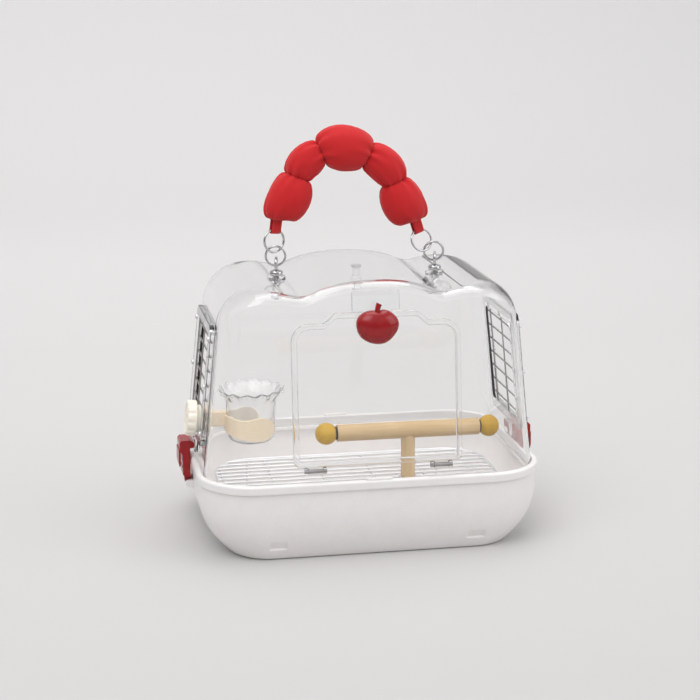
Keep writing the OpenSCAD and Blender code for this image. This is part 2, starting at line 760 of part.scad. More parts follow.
module knob_screw() {
    color([0.7, 0.7, 0.72]) front_plane() translate([0, 0, fruit_s]) rotate([90, 0, 0]) {
        translate([0, 0, -1]) cylinder(d = knob_screw_d,
            h = gap + door_sheet + bead_proud + gap + 6);
        translate([0, 0, -3.2]) cylinder(d = 2 * knob_screw_d, h = 2.2);
    }
}

module knob_washer() {
    color([0.75, 0.75, 0.77]) front_plane() translate([0, 0.98, fruit_s])
        rotate([90, 0, 0]) difference() {
            cylinder(d = 2 * knob_screw_d + 3, h = 1);
            translate([0, 0, -1]) cylinder(d = knob_screw_d + 0.3, h = 3);
        }
}

// ---- Perch ----

module perch_dowel() {
    color([0.78, 0.69, 0.53]) translate([perch_x - perch_length / 2, perch_y, perch_height])
        rotate([0, 90, 0]) cylinder(d = perch_d, h = perch_length);
}

module perch_post() {
    z = grate_top + gap + stud_washer;
    color([0.76, 0.66, 0.5]) difference() {
        translate([perch_x, perch_y, z]) cylinder(d = post_d, h = perch_height - z);
        translate([perch_x - post_d, perch_y, perch_height]) rotate([0, 90, 0])
            cylinder(d = perch_d + 0.1, h = 2 * post_d);
        translate([perch_x, perch_y, z - 1]) cylinder(d = stud_d + 0.02, h = 15);
    }
}

spacer = 1.6;
module perch_rings() {
    color([0.2, 0.15, 0.13]) for (s = [0, 1]) translate([perch_x, perch_y, perch_height])
        rotate([0, s * 180 - 90, 0]) translate([0, 0, perch_length / 2 + 0.05])
            cylinder(d = perch_d - 3.6, h = spacer);
}

module perch_bead(s) {
    r = bead_d / 2;
    cut = r - 1.7;
    color([0.79, 0.67, 0.31]) translate([perch_x, perch_y, perch_height]) rotate([0, 90 * s, 0])
        translate([0, 0, perch_length / 2 + 0.1 + spacer + cut]) difference() {
            sphere(r);
            translate([-r, -r, -r - cut]) cube([2 * r, 2 * r, r]);
        }
}
module left_bead() { perch_bead(-1); }
module right_bead() { perch_bead(1); }

nut_top = grate_top - grate_wire - stud_washer - 2 * gap;
module perch_stud() {
    color([0.7, 0.7, 0.72]) translate([perch_x, perch_y, nut_top - 8])
        cylinder(d = stud_d, h = grate_top + 13 - nut_top + 8);
}

module perch_washers() {
    color([0.75, 0.75, 0.77]) for (z = [grate_top + gap, nut_top + gap])
        translate([perch_x, perch_y, z]) difference() {
            cylinder(d = 2 * long_pitch - 4, h = stud_washer - 0.02);
            translate([0, 0, -1]) cylinder(d = stud_d + 0.4, h = 4);
        }
}

module perch_wing_nut() {
    color([0.7, 0.7, 0.72]) translate([perch_x, perch_y, nut_top - 6]) difference() {
        union() {
            cylinder(d = stud_d + 6, h = 6);
            for (s = [-1, 1]) translate([s * (stud_d / 2 + 5), 1.2, 1]) rotate([90, 0, 0])
                linear_extrude(2.4) {
                    circle(4);
                    translate([-s * 2.5 - 2.5, -2.5]) square([5, 5]);
                }
        }
        translate([0, 0, -6]) cylinder(r = stud_d / 2 + fit, h = 20);
    }
}

// ---- Feeding cup ----

// Ring of the cup: share u of its height, outer (k = 0) or inner (k = 1) face.
function cup_ring(u, k) = [for (j = [0:59]) let (a = 180 + 360 * (j + 0.5) / 60,
    flare = u > 0.8 ? (u - 0.8) * 5 : 0,
    r = cup_r(cup_z + u * cup_height) - k * cup_wall - 5 * pow(max(0, 1 - u / 0.12), 2)
        + flare * (1 - k) * (0.6 + 1.1 * cos(cup_waves * a)))
    [r * cos(a), r * sin(a), cup_z + u * cup_height + flare * 0.9 * cos(cup_waves * a)]];

module food_cup() {
    steps = [0.02, 0.05, 0.12, 0.4, 0.77, 0.81, 0.86, 0.92, 1];
    bottom = [for (p = cup_ring(0, 0)) [p[0] * 0.97, p[1] * 0.97, cup_z]];
    floor_in = [for (p = cup_ring(0.08, 1)) [p[0] * 0.9, p[1] * 0.9, cup_z + cup_wall]];
    color([0.85, 0.9, 0.93, 0.4]) translate([-cup_x, -cup_y, 0])
        loft(concat([bottom], [for (u = steps) cup_ring(u, 0)],
            [for (k = [len(steps) - 1:-1:2]) cup_ring(steps[k], 1)], [floor_in]));
}

// Upper and lower edge of the band at share u of an arm: a swell, a dip and a swell.
function band_high(u) = bolt_z + 2.8 + cos(360 * (u - 0.18) / 0.57);
function band_low(u) = bolt_z + 12 - band_height - 3.5 * smooth(min(1, u / 0.15))
    - 6 * smooth(min(1, u / 0.75));

// Section of the band: v runs from 1 at the front arm's end to -1 at the back arm's end.
function band_ring(v) = let (u = abs(v), a = 180 + (v > 0 ? 140 : 117) * v,
    mid = (band_low(u) + band_high(u)) / 2, h = (band_high(u) - band_low(u)) / 2
        * sqrt(max(0.12, 1 - pow(max(0, u - 0.74) / 0.28, 2))),
    low = mid - h, high = mid + h,
    r0 = cup_r(low) + gap, r1 = cup_r(high) + gap)
    [[r0 * cos(a), r0 * sin(a), low], [(r0 + band_thick) * cos(a),
        (r0 + band_thick) * sin(a), low],
    [(r1 + band_thick) * cos(a), (r1 + band_thick) * sin(a), high],
    [r1 * cos(a), r1 * sin(a), high]];

module cup_bracket() {
    // Half size of the plate that fills the window between two grille wires.
    p = 10.5;
    x_plate = cover_l - slope_end * (bolt_z - tub_height);
    reach = cup_x + cup_r(bolt_z) + gap + band_thick / 2;
    color([0.89, 0.82, 0.7]) difference() {
        union() {
            translate([-cup_x, -cup_y, 0]) loft([for (k = [20:-1:-20]) band_ring(k / 20)]);
            translate([-x_plate + 3, -cup_y - 5, bolt_z - 6.5])
                cube([x_plate - 3 - reach, 10, 13]);
            mirror([1, 0, 0]) end_plane() translate([0, -cup_y, 0])
                end_slab(2 * p, 2 * p, 3, -3.6, -0.35, bolt_s - p);
        }
        bolt_axis() translate([0, 0, -3.4]) cylinder(d = cup_bolt_d + 0.02, h = 20);
    }
}

// Axis of the bracket's bolt, outward through the left end.
module bolt_axis() {
    mirror([1, 0, 0]) end_plane() translate([0, -cup_y, bolt_s]) rotate([0, 90, 0]) children();
}

module cup_bolt() {
    color([0.7, 0.7, 0.72]) bolt_axis() translate([0, 0, -3.3])
        cylinder(d = cup_bolt_d, h = 3.3 + rebate + 4 + cup_knob_length - 4);
}

module cup_knob() {
    z0 = rebate + gap;
    r = cup_knob_d / 2;
    color([0.94, 0.91, 0.85]) bolt_axis() difference() {
        union() {
            translate([0, 0, z0]) cylinder(d = cup_knob_d - 8, h = 4.1);
            translate([0, 0, z0 + 4]) cylinder(r = r, h = cup_knob_length);
        }
        // Finger grips.
        for (k = [0:11]) rotate([0, 0, 30 * k]) translate([r + 1.4, 0, z0 + 5.5])
            cylinder(r = 2.4, h = cup_knob_length);
        translate([0, 0, z0 - 1]) cylinder(r = cup_bolt_d / 2 + fit,
            h = cup_knob_length + 3.2);
    }
}

// ---- Handle ----

module torus(d, wire) {
    rotate_extrude() translate([d / 2, 0]) circle(d = wire);
}

// Directions in the handle's plane, as [x, z]; e: 0 left, 1 right.
function unit(v) = v / norm(v);
function lean(v) = atan2(v[0], v[1]);
function link_dir(e) = unit(big_at[e] - small_at[e]);

module ring_at(e, c, twist, d) {
    translate([(2 * e - 1) * eye_x + c[0], 0, eye_z + c[1]])
        rotate([0, lean(link_dir(e)), 0]) rotate([0, 0, twist]) rotate([90, 0, 0])
        torus(d, ring_wire);
}
module small_link(e) {
    color([0.8, 0.81, 0.82]) ring_at(e, small_at[e], small_twist, small_ring);
}
module big_link(e) {
    color([0.8, 0.81, 0.82]) ring_at(e, big_at[e], big_twist, big_ring);
}
module left_small_ring() { small_link(0); }
module right_small_ring() { small_link(1); }
module left_big_ring() { big_link(0); }
module right_big_ring() { big_link(1); }

// Where a strap hangs on its big ring: [x, y, z from the eyes], and the wire's direction.
function hang_angle(e) = let (s = unit(strap_at[e] - big_at[e]), l = link_dir(e),
    n = [l[1], -l[0]]) atan2(s * n / cos(big_twist), s * l);
function hang_point(e) = let (l = link_dir(e), n = [l[1], -l[0]], a = hang_angle(e),
    r = big_ring / 2, u = big_at[e] + r * (cos(a) * l + sin(a) * cos(big_twist) * n))
    [u[0], r * sin(a) * sin(big_twist), u[1]];
function hang_wire(e) = let (l = link_dir(e), n = [l[1], -l[0]], a = hang_angle(e),
    u = -sin(a) * l + cos(a) * cos(big_twist) * n) [u[0], cos(a) * sin(big_twist), u[1]];
function strap_dir(e) = let (h = hang_point(e)) unit(strap_at[e] - [h[0], h[2]]);

module strap(e) {
    h = hang_point(e);
    w = hang_wire(e);
    s = strap_dir(e);
    twist = atan2(w[1], w[0] * s[1] - w[2] * s[0]);
    long = norm(strap_at[e] - [h[0], h[2]]) - 0.05;
    hole = ring_wire / 2 + 0.5;
    sag = big_ring / 2 - sqrt(pow(big_ring / 2, 2) - pow(strap_width / 2, 2));
    low = hole - ring_wire / 2 - sag - 0.4;
    color([0.78, 0.1, 0.12]) translate([(2 * e - 1) * eye_x + h[0], h[1], eye_z + h[2]])
        rotate([0, lean(s), 0]) rotate([0, 0, twist])
        translate([strap_width / 2, 0, 0]) rotate([0, -90, 0])
        linear_extrude(strap_width) difference() {
            union() {
                translate([low, 0]) circle(hole + strap_thick);
                translate([low, -hole - strap_thick])
                    square([long - low, 2 * (hole + strap_thick)]);
            }
            translate([low, 0]) circle(hole);
            translate([low, -hole]) square([long - low - 2, 2 * hole]);
        }
}
module left_strap() { strap(0); }
module right_strap() { strap(1); }

// Middle line of the stuffed part: two strap ends and the lobes, as [x, z].
plush_pts = concat(
    [[strap_at[0][0] - eye_x, strap_at[0][1]]],
    [for (l = lobes) [l[0] * eye_x / 73.3, l[1]]],
    [[strap_at[1][0] + eye_x, strap_at[1][1]]]);
plush_last = len(plush_pts) - 1;
function plush_dir(k) = k == 0 ? strap_dir(0) : k == plush_last ? -strap_dir(1)
    : unit(plush_pts[k + 1] - plush_pts[k - 1]);
function plush_at(k, t) = let (a = plush_pts[k], b = plush_pts[k + 1], c = norm(b - a))
    a * (1 + t * t * (2 * t - 3)) + b * t * t * (3 - 2 * t)
    + c * t * (1 - t) * ((1 - t) * plush_dir(k) - t * plush_dir(k + 1));
function plush_turn(k, t) = unit(plush_at(k, min(1, t + 0.02)) - plush_at(k, max(0, t - 0.02)));

// Half height of the stuffed part: a round swell at each lobe, a gather between two.
strap_end_r = strap_width / 2 + 2.2;
function lobe_r(k) = k < 0 || k >= len(lobes) ? strap_end_r / plush_pinch : lobes[k][2] * plush_fill;
function gather_r(k) = plush_pinch * min(lobe_r(k - 1), lobe_r(k));
function plush_r(k, t) = let (a = k == 0 ? 0 : lobe_r(k - 1), b = k == plush_last - 1 ? 0 : lobe_r(k),
    m = a / (a + b), low = gather_r(k))
    t < m ? low + (a - low) * sqrt(max(0, 1 - pow(t / m, 2)))
    : low + (b - low) * sqrt(max(0, 1 - pow((1 - t) / (1 - m), 2)));

function plush_ring(k, t) = let (c = plush_at(k, t), d = plush_turn(k, t), r = plush_r(k, t))
    [for (j = [0:21]) let (a = 180 + 360 * (j + 0.5) / 22,
        y = plush_flat * r * sin(a), n = r * cos(a))
    [c[0] - d[1] * n, -y, eye_z + c[1] + d[0] * n]];
function swell_steps(k) = let (a = k == 0 ? 0 : lobe_r(k - 1),
    b = k == plush_last - 1 ? 0 : lobe_r(k), m = a / (a + b)) concat(
    a == 0 ? [] : [for (u = [0, 0.42, 0.7, 0.88, 0.97]) m * u],
    [m],
    b == 0 ? [] : [for (u = [0.97, 0.88, 0.7, 0.42]) 1 - (1 - m) * u]);

module handle_plush() {
    color([0.85, 0.13, 0.14]) loft(concat(
        [for (k = [0:plush_last - 1]) each [for (t = swell_steps(k)) plush_ring(k, t)]]));
}

// Swivel eye bolt, its eye square to the small ring.
module eye_bolt(e) {
    top = eye_z - eye_r - eye_wire / 2;
    low = roof_at(eye_x) - cover_wall - 1.5;
    color([0.8, 0.81, 0.82]) translate([(2 * e - 1) * eye_x, 0, 0]) {
        translate([0, 0, eye_z]) rotate([0, 0, small_twist]) rotate([0, 90, 0])
            torus(eye_d, eye_wire);
        translate([0, 0, boss_top + gap]) cylinder(d = shank_d + 7, h = top - boss_top - gap + 0.5);
        translate([0, 0, low - 6]) cylinder(d = shank_d, h = boss_top - low + 6.5);
    }
}
module eye_nut(e) {
    low = roof_at(eye_x) - cover_wall - 1.5 - gap - 3.6;
    color([0.7, 0.7, 0.72]) translate([(2 * e - 1) * eye_x, 0, low]) difference() {
        cylinder(d = shank_d + 4.6, h = 3.6, $fn = 6);
        translate([0, 0, -1]) cylinder(d = shank_d + 0.02, h = 6);
    }
}
module left_eye_bolt() { eye_bolt(0); }
module right_eye_bolt() { eye_bolt(1); }
module left_eye_nut() { eye_nut(0); }
module right_eye_nut() { eye_nut(1); }

base_tub();
latch_pins();
floor_grate();
left_latch();
right_latch();
cover_shell();
left_window_frame();
right_window_frame();
left_grille();
right_grille();
window_screws();
roof_hook();
door_catch();
door();
door_hinge_pins();
fruit_knob();
knob_screw();
knob_washer();
perch_post();
perch_dowel();
left_bead();
right_bead();
perch_rings();
perch_stud();
perch_washers();
perch_wing_nut();
food_cup();
cup_bracket();
cup_bolt();
cup_knob();
handle_plush();
left_strap();
right_strap();
left_big_ring();
right_big_ring();
left_small_ring();
right_small_ring();
left_eye_bolt();
right_eye_bolt();
left_eye_nut();
right_eye_nut();
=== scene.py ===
"""Bird travel carrier: the visual model, its materials, the studio and the camera.

Everything is in metres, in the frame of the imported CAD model: X right, Y back, Z up,
with the origin under the middle of the tub.
"""

from __future__ import annotations

import json
import logging
import math
from dataclasses import dataclass, field
from enum import Enum
from typing import Callable, Iterable, Sequence

import bmesh
import bpy
from mathutils import Matrix, Vector

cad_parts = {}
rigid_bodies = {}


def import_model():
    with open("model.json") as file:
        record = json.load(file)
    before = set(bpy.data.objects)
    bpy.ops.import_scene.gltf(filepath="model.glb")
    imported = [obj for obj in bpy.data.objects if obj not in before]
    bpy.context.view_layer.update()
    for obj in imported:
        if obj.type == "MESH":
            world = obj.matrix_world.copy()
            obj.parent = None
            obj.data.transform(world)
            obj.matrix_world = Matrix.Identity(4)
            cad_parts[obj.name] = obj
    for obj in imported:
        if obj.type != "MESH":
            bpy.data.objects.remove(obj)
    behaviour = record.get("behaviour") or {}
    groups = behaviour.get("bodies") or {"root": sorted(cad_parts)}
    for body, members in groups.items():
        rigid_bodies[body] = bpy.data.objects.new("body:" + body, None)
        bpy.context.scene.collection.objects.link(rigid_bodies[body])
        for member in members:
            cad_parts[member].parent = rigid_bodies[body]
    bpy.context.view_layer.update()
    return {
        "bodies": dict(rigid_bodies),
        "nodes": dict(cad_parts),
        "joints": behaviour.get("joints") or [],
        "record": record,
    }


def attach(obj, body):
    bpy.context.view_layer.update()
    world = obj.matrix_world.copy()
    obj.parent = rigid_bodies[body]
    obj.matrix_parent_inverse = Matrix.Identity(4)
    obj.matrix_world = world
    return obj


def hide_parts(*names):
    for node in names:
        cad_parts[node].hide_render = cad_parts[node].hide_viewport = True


log = logging.getLogger("carrier")

MM = 0.001
Point = tuple[float, float, float]
Ring = list[Point]
Colour = tuple[float, float, float]
Shape = tuple[list[Point], list[tuple[int, ...]]]
Outline = list[tuple[float, float]]


# Materials


class Pattern(Enum):
    """What breaks up a finish's plain colour."""

    MOULDED = "moulded"
    BRUSHED = "brushed"
    POLISHED = "polished"
    GRAIN = "grain"
    WEAVE = "weave"
    RIBBED = "ribbed"


def srgb(r: int, g: int, b: int) -> Colour:
    """Linear colour of an 8-bit screen colour.

    Args:
        r: Red, 0 to 255.
        g: Green.
        b: Blue.

    Returns:
        Red, green and blue, 0 to 1.
    """

    def channel(v: int) -> float:
        """One channel made linear."""
        c = v / 255
        return c / 12.92 if c <= 0.04045 else ((c + 0.055) / 1.055) ** 2.4

    return channel(r), channel(g), channel(b)


def set_inputs(node: bpy.types.Node, **values: object) -> None:
    """Sets a node's inputs.

    Args:
        node: The node.
        values: Values by input name, with _ in place of a space.
    """
    for name, value in values.items():
        node.inputs[name.replace("_", " ")].default_value = value


def add_node(tree: bpy.types.NodeTree, kind: str, **values: object) -> bpy.types.Node:
    """Adds a node to a tree and sets its inputs.

    Args:
        tree: The node tree.
        kind: Type of the node.
        values: Values by input name, with _ in place of a space.

    Returns:
        The node.
    """
    node = tree.nodes.new(kind)
    set_inputs(node, **values)
    return node


def vary_roughness(tree: bpy.types.NodeTree, shader: bpy.types.Node,
                   pattern: bpy.types.NodeSocket, span: tuple[float, float]) -> None:
    """Lets a pattern set a shader's roughness.

    Args:
        tree: The node tree.
        shader: The shader node.
        pattern: Socket that gives 0 to 1.
        span: Least and greatest roughness.
    """
    reach = add_node(tree, "ShaderNodeMapRange", To_Min=span[0], To_Max=span[1])
    tree.links.new(pattern, reach.inputs["Value"])
    tree.links.new(reach.outputs["Result"], shader.inputs["Roughness"])


@dataclass(frozen=True)
class Finish:
    """An opaque surface finish.

    Attributes:
        name: Material name.
        dark: Colour in the hollows or dark fibres.
        light: Colour on the raised parts or light fibres.
        pattern: What breaks the colour up.
        scale: Size of the pattern, in repeats per metre.
        roughness: Least and greatest roughness.
        bump: Height of the relief in metres.
        metallic: 1 for bare metal.
        coat: Weight of the clear coat.
        shine: Strength of its plain reflection.
        sheen: Weight of the fibres' sheen.
        subsurface: Share of light that soaks in.
        axis: Axis along which a grain, brushing or rib runs: 0 X, 1 Y, 2 Z.
    """

    name: str
    dark: Colour
    light: Colour
    pattern: Pattern
    scale: float
    roughness: tuple[float, float]
    bump: float = 0.0
    metallic: float = 0.0
    coat: float = 0.0
    shine: float = 0.5
    sheen: float = 0.0
    subsurface: float = 0.0
    axis: int = 0

    def build(self) -> bpy.types.Material:
        """The node material, made once.

        Returns:
            The material.
        """
        old = bpy.data.materials.get(f"{self.name}_finish")
        if old:
            return old
        mat = bpy.data.materials.new(f"{self.name}_finish")
        mat.use_nodes = True
        tree = mat.node_tree
        shader = tree.nodes["Principled BSDF"]
        set_inputs(shader, Metallic=self.metallic, Coat_Weight=self.coat, Coat_Roughness=0.12,
                   Specular_IOR_Level=self.shine, Sheen_Weight=self.sheen, Sheen_Roughness=0.45,
                   Subsurface_Weight=self.subsurface, Subsurface_Scale=4 * MM)
        fine, broad = self._fields(tree)
        self._colour(tree, shader, fine, broad)
        vary_roughness(tree, shader, broad, self.roughness)
        if self.bump:
            relief = add_node(tree, "ShaderNodeBump", Distance=self.bump, Strength=1.0)
            tree.links.new(fine, relief.inputs["Height"])
            tree.links.new(relief.outputs["Normal"], shader.inputs["Normal"])
        return mat

    def _fields(self, tree: bpy.types.NodeTree) -> tuple:
        """Sockets of the fine pattern and of a broad, soft variation, both 0 to 1.

        Args:
            tree: The node tree.

        Returns:
            The fine pattern's socket and the broad one's.
        """
        place = tree.nodes.new("ShaderNodeTexCoord")
        broad = add_node(tree, "ShaderNodeTexNoise", Scale=max(12.0, self.scale / 14), Detail=3.0)
        tree.links.new(place.outputs["Object"], broad.inputs["Vector"])
        stretch = tree.nodes.new("ShaderNodeMapping")
        tree.links.new(place.outputs["Object"], stretch.inputs["Vector"])
        if self.pattern is Pattern.WEAVE:
            return self._weave(tree, stretch.outputs["Vector"]), broad.outputs["Fac"]
        if self.pattern is Pattern.RIBBED:
            return self._ribs(tree, stretch.outputs["Vector"]), broad.outputs["Fac"]
        bend = 0.6 if self.pattern is Pattern.GRAIN else 0.0
        fine = add_node(tree, "ShaderNodeTexNoise", Scale=self.scale, Detail=6.0, Distortion=bend)
        scale = [1.0, 1.0, 1.0]
        scale[self.axis] = {Pattern.BRUSHED: 0.04, Pattern.GRAIN: 0.06}.get(self.pattern, 1.0)
        stretch.inputs["Scale"].default_value = scale
        tree.links.new(stretch.outputs["Vector"], fine.inputs["Vector"])
        return fine.outputs["Fac"], broad.outputs["Fac"]

    def _weave(self, tree: bpy.types.NodeTree,
               place: bpy.types.NodeSocket) -> bpy.types.NodeSocket:
        """Two crossed sets of threads.

        Args:
            tree: The node tree.
            place: Socket of the place.

        Returns:
            Socket that gives 0 to 1.
        """
        waves = []
        for direction in ("X", "Z"):
            wave = add_node(tree, "ShaderNodeTexWave", Scale=self.scale, Distortion=1.2,
                            Detail=1.0, Detail_Scale=2.0)
            wave.bands_direction = direction
            tree.links.new(place, wave.inputs["Vector"])
            waves.append(wave)
        joined = tree.nodes.new("ShaderNodeMath")
        joined.operation = "MULTIPLY"
        tree.links.new(waves[0].outputs["Fac"], joined.inputs[0])
        tree.links.new(waves[1].outputs["Fac"], joined.inputs[1])
        return joined.outputs["Value"]

    def _ribs(self, tree: bpy.types.NodeTree,
              place: bpy.types.NodeSocket) -> bpy.types.NodeSocket:
        """Fine ribs along one axis.

        Args:
            tree: The node tree.
            place: Socket of the place.

        Returns:
            Socket that gives 0 to 1.
        """
        wave = add_node(tree, "ShaderNodeTexWave", Scale=self.scale, Distortion=0.6)
        wave.bands_direction = "XYZ"[self.axis]
        tree.links.new(place, wave.inputs["Vector"])
        return wave.outputs["Fac"]

    def _colour(self, tree: bpy.types.NodeTree, shader: bpy.types.Node,
                fine: bpy.types.NodeSocket, broad: bpy.types.NodeSocket) -> None:
        """Colour from the two patterns together.

        Args:
            tree: The node tree.
            shader: The shader node.
            fine: Socket of the fine pattern.
            broad: Socket of the broad one.
        """
        both = tree.nodes.new("ShaderNodeMath")
        both.operation = "MULTIPLY_ADD"
        both.inputs[1].default_value = 0.6
        tree.links.new(fine, both.inputs[0])
        part = tree.nodes.new("ShaderNodeMath")
        part.operation = "MULTIPLY"
        part.inputs[1].default_value = 0.4
        tree.links.new(broad, part.inputs[0])
        tree.links.new(part.outputs["Value"], both.inputs[2])
        ramp = tree.nodes.new("ShaderNodeValToRGB")
        for mark, at, colour in zip(ramp.color_ramp.elements, (0.28, 0.72),
                                    (self.dark, self.light)):
            mark.position = at
            mark.color = (*colour, 1.0)
        tree.links.new(both.outputs["Value"], ramp.inputs["Fac"])
        tree.links.new(ramp.outputs["Color"], shader.inputs["Base Color"])


@dataclass(frozen=True)
class ClearFinish:
    """Clear moulded plastic that lets the lamps' light through.

    Attributes:
        name: Material name.
        tint: Colour of the light that passes.
        ior: Index of refraction.
        roughness: Least and greatest roughness of its faces.
        edge: Painted shade: colour of the light that passes where a face turns away, a grey that
            draws dark lines along the clear edges.
        milk: Share of the light that the plastic scatters itself.
        graze: Share of the way to edge-on at which the painted edge shade starts.
    """

    name: str
    tint: Colour = (0.995, 0.997, 0.997)
    ior: float = 1.45
    roughness: tuple[float, float] = (0.01, 0.05)
    edge: Colour = (0.42, 0.44, 0.46)
    milk: float = 0.0
    graze: float = 0.82

    def build(self) -> bpy.types.Material:
        """The node material, made once.

        Returns:
            The material.
        """
        old = bpy.data.materials.get(f"{self.name}_finish")
        if old:
            return old
        mat = bpy.data.materials.new(f"{self.name}_finish")
        mat.use_nodes = True
        tree = mat.node_tree
        shader = tree.nodes["Principled BSDF"]
        set_inputs(shader, Transmission_Weight=1.0 - self.milk, IOR=self.ior)
        # Painted shade: the colour greys from the tint to the edge colour as a face turns edge-on.
        away = add_node(tree, "ShaderNodeLayerWeight", Blend=0.5)
        turn = add_node(tree, "ShaderNodeMapRange", From_Min=self.graze, From_Max=1.0)
        tree.links.new(away.outputs["Facing"], turn.inputs["Value"])
        tone = tree.nodes.new("ShaderNodeMix")
        tone.data_type = "RGBA"
        tone.inputs[6].default_value = (*self.tint, 1.0)
        tone.inputs[7].default_value = (*self.edge, 1.0)
        tree.links.new(turn.outputs["Result"], tone.inputs[0])
        tree.links.new(tone.outputs[2], shader.inputs["Base Color"])
        place = tree.nodes.new("ShaderNodeTexCoord")
        haze = add_node(tree, "ShaderNodeTexNoise", Scale=30.0, Detail=4.0)
        tree.links.new(place.outputs["Object"], haze.inputs["Vector"])
        vary_roughness(tree, shader, haze.outputs["Fac"], self.roughness)
        # Lamps shine through, so the pieces inside aren't in black shade.
        ray = tree.nodes.new("ShaderNodeLightPath")
        open_air = add_node(tree, "ShaderNodeBsdfTransparent", Color=(0.93, 0.93, 0.93, 1.0))
        mix = tree.nodes.new("ShaderNodeMixShader")
        out = tree.nodes["Material Output"]
        tree.links.new(ray.outputs["Is Shadow Ray"], mix.inputs["Fac"])
        tree.links.new(shader.outputs["BSDF"], mix.inputs[1])
        tree.links.new(open_air.outputs["BSDF"], mix.inputs[2])
        tree.links.new(mix.outputs["Shader"], out.inputs["Surface"])
        return mat


TUB_WHITE = Finish("tub_white", srgb(232, 229, 228), srgb(240, 238, 237), Pattern.MOULDED,
                   900, (0.3, 0.42), bump=0.00002, coat=0.2, subsurface=0.05)
RED_PLASTIC = Finish("red_plastic", srgb(140, 16, 22), srgb(160, 22, 28), Pattern.MOULDED,
                     500, (0.2, 0.3), bump=0.00002, coat=0.15, shine=0.3)
FRUIT = Finish("fruit_red", srgb(138, 18, 24), srgb(166, 26, 31), Pattern.MOULDED,
               160, (0.16, 0.26), bump=0.00002, coat=0.25, shine=0.3)
CREAM = Finish("cream_plastic", srgb(240, 232, 216), srgb(248, 242, 230), Pattern.MOULDED,
               700, (0.3, 0.42), bump=0.00002, subsurface=0.1)
BRACKET = Finish("bracket_plastic", srgb(230, 212, 184), srgb(242, 226, 202), Pattern.MOULDED,
                 700, (0.34, 0.46), bump=0.00002, subsurface=0.1)
CHROME = Finish("chrome", (0.5, 0.5, 0.51), (0.62, 0.62, 0.63), Pattern.POLISHED,
                1500, (0.08, 0.18), bump=0.000004, metallic=1.0)
STEEL = Finish("steel_wire", (0.74, 0.74, 0.75), (0.86, 0.86, 0.87), Pattern.BRUSHED,
               2200, (0.32, 0.42), bump=0.000006, metallic=1.0)
DARK_STEEL = Finish("dark_steel", (0.3, 0.28, 0.28), (0.44, 0.42, 0.41), Pattern.BRUSHED,
                    2200, (0.3, 0.45), bump=0.000006, metallic=1.0)
WOOD = Finish("perch_wood", srgb(186, 156, 112), srgb(212, 186, 148), Pattern.GRAIN,
              420, (0.45, 0.6), bump=0.00012)
POST_WOOD = Finish("post_wood", srgb(190, 160, 118), srgb(218, 194, 156), Pattern.GRAIN,
                   420, (0.45, 0.6), bump=0.00012, axis=2)
YELLOW_WOOD = Finish("yellow_wood", srgb(178, 138, 44), srgb(202, 164, 66), Pattern.GRAIN,
                     300, (0.4, 0.55), bump=0.00006, shine=0.3)
SPACER = Finish("spacer_rubber", (0.02, 0.014, 0.012), (0.05, 0.036, 0.03), Pattern.MOULDED,
                800, (0.5, 0.65), bump=0.00004)
PLUSH = Finish("plush_cloth", srgb(196, 16, 24), srgb(228, 32, 32), Pattern.WEAVE,
               430, (0.75, 0.92), bump=0.00015, sheen=0.12)
WEBBING = Finish("webbing", srgb(200, 22, 28), srgb(234, 42, 42), Pattern.RIBBED,
                 420, (0.7, 0.85), bump=0.00025, sheen=0.2, axis=2)
# The edge colours are painted shade that greys the clear faces where they turn edge-on.
CLEAR = ClearFinish("clear_acrylic", edge=(0.6, 0.62, 0.64), graze=0.86)
CLEAR_DOOR = ClearFinish("clear_door", edge=(0.36, 0.38, 0.4), graze=0.3)
CLEAR_CUP = ClearFinish("clear_cup", tint=(0.985, 0.985, 0.985), ior=1.42,
                        roughness=(0.04, 0.12), edge=(0.6, 0.6, 0.61), milk=0.1, graze=0.5)
CLEAR_FRAME = ClearFinish("clear_frame", tint=(0.97, 0.975, 0.98), ior=1.46,
                          roughness=(0.02, 0.09), edge=(0.4, 0.42, 0.44), graze=0.4)


# Studio


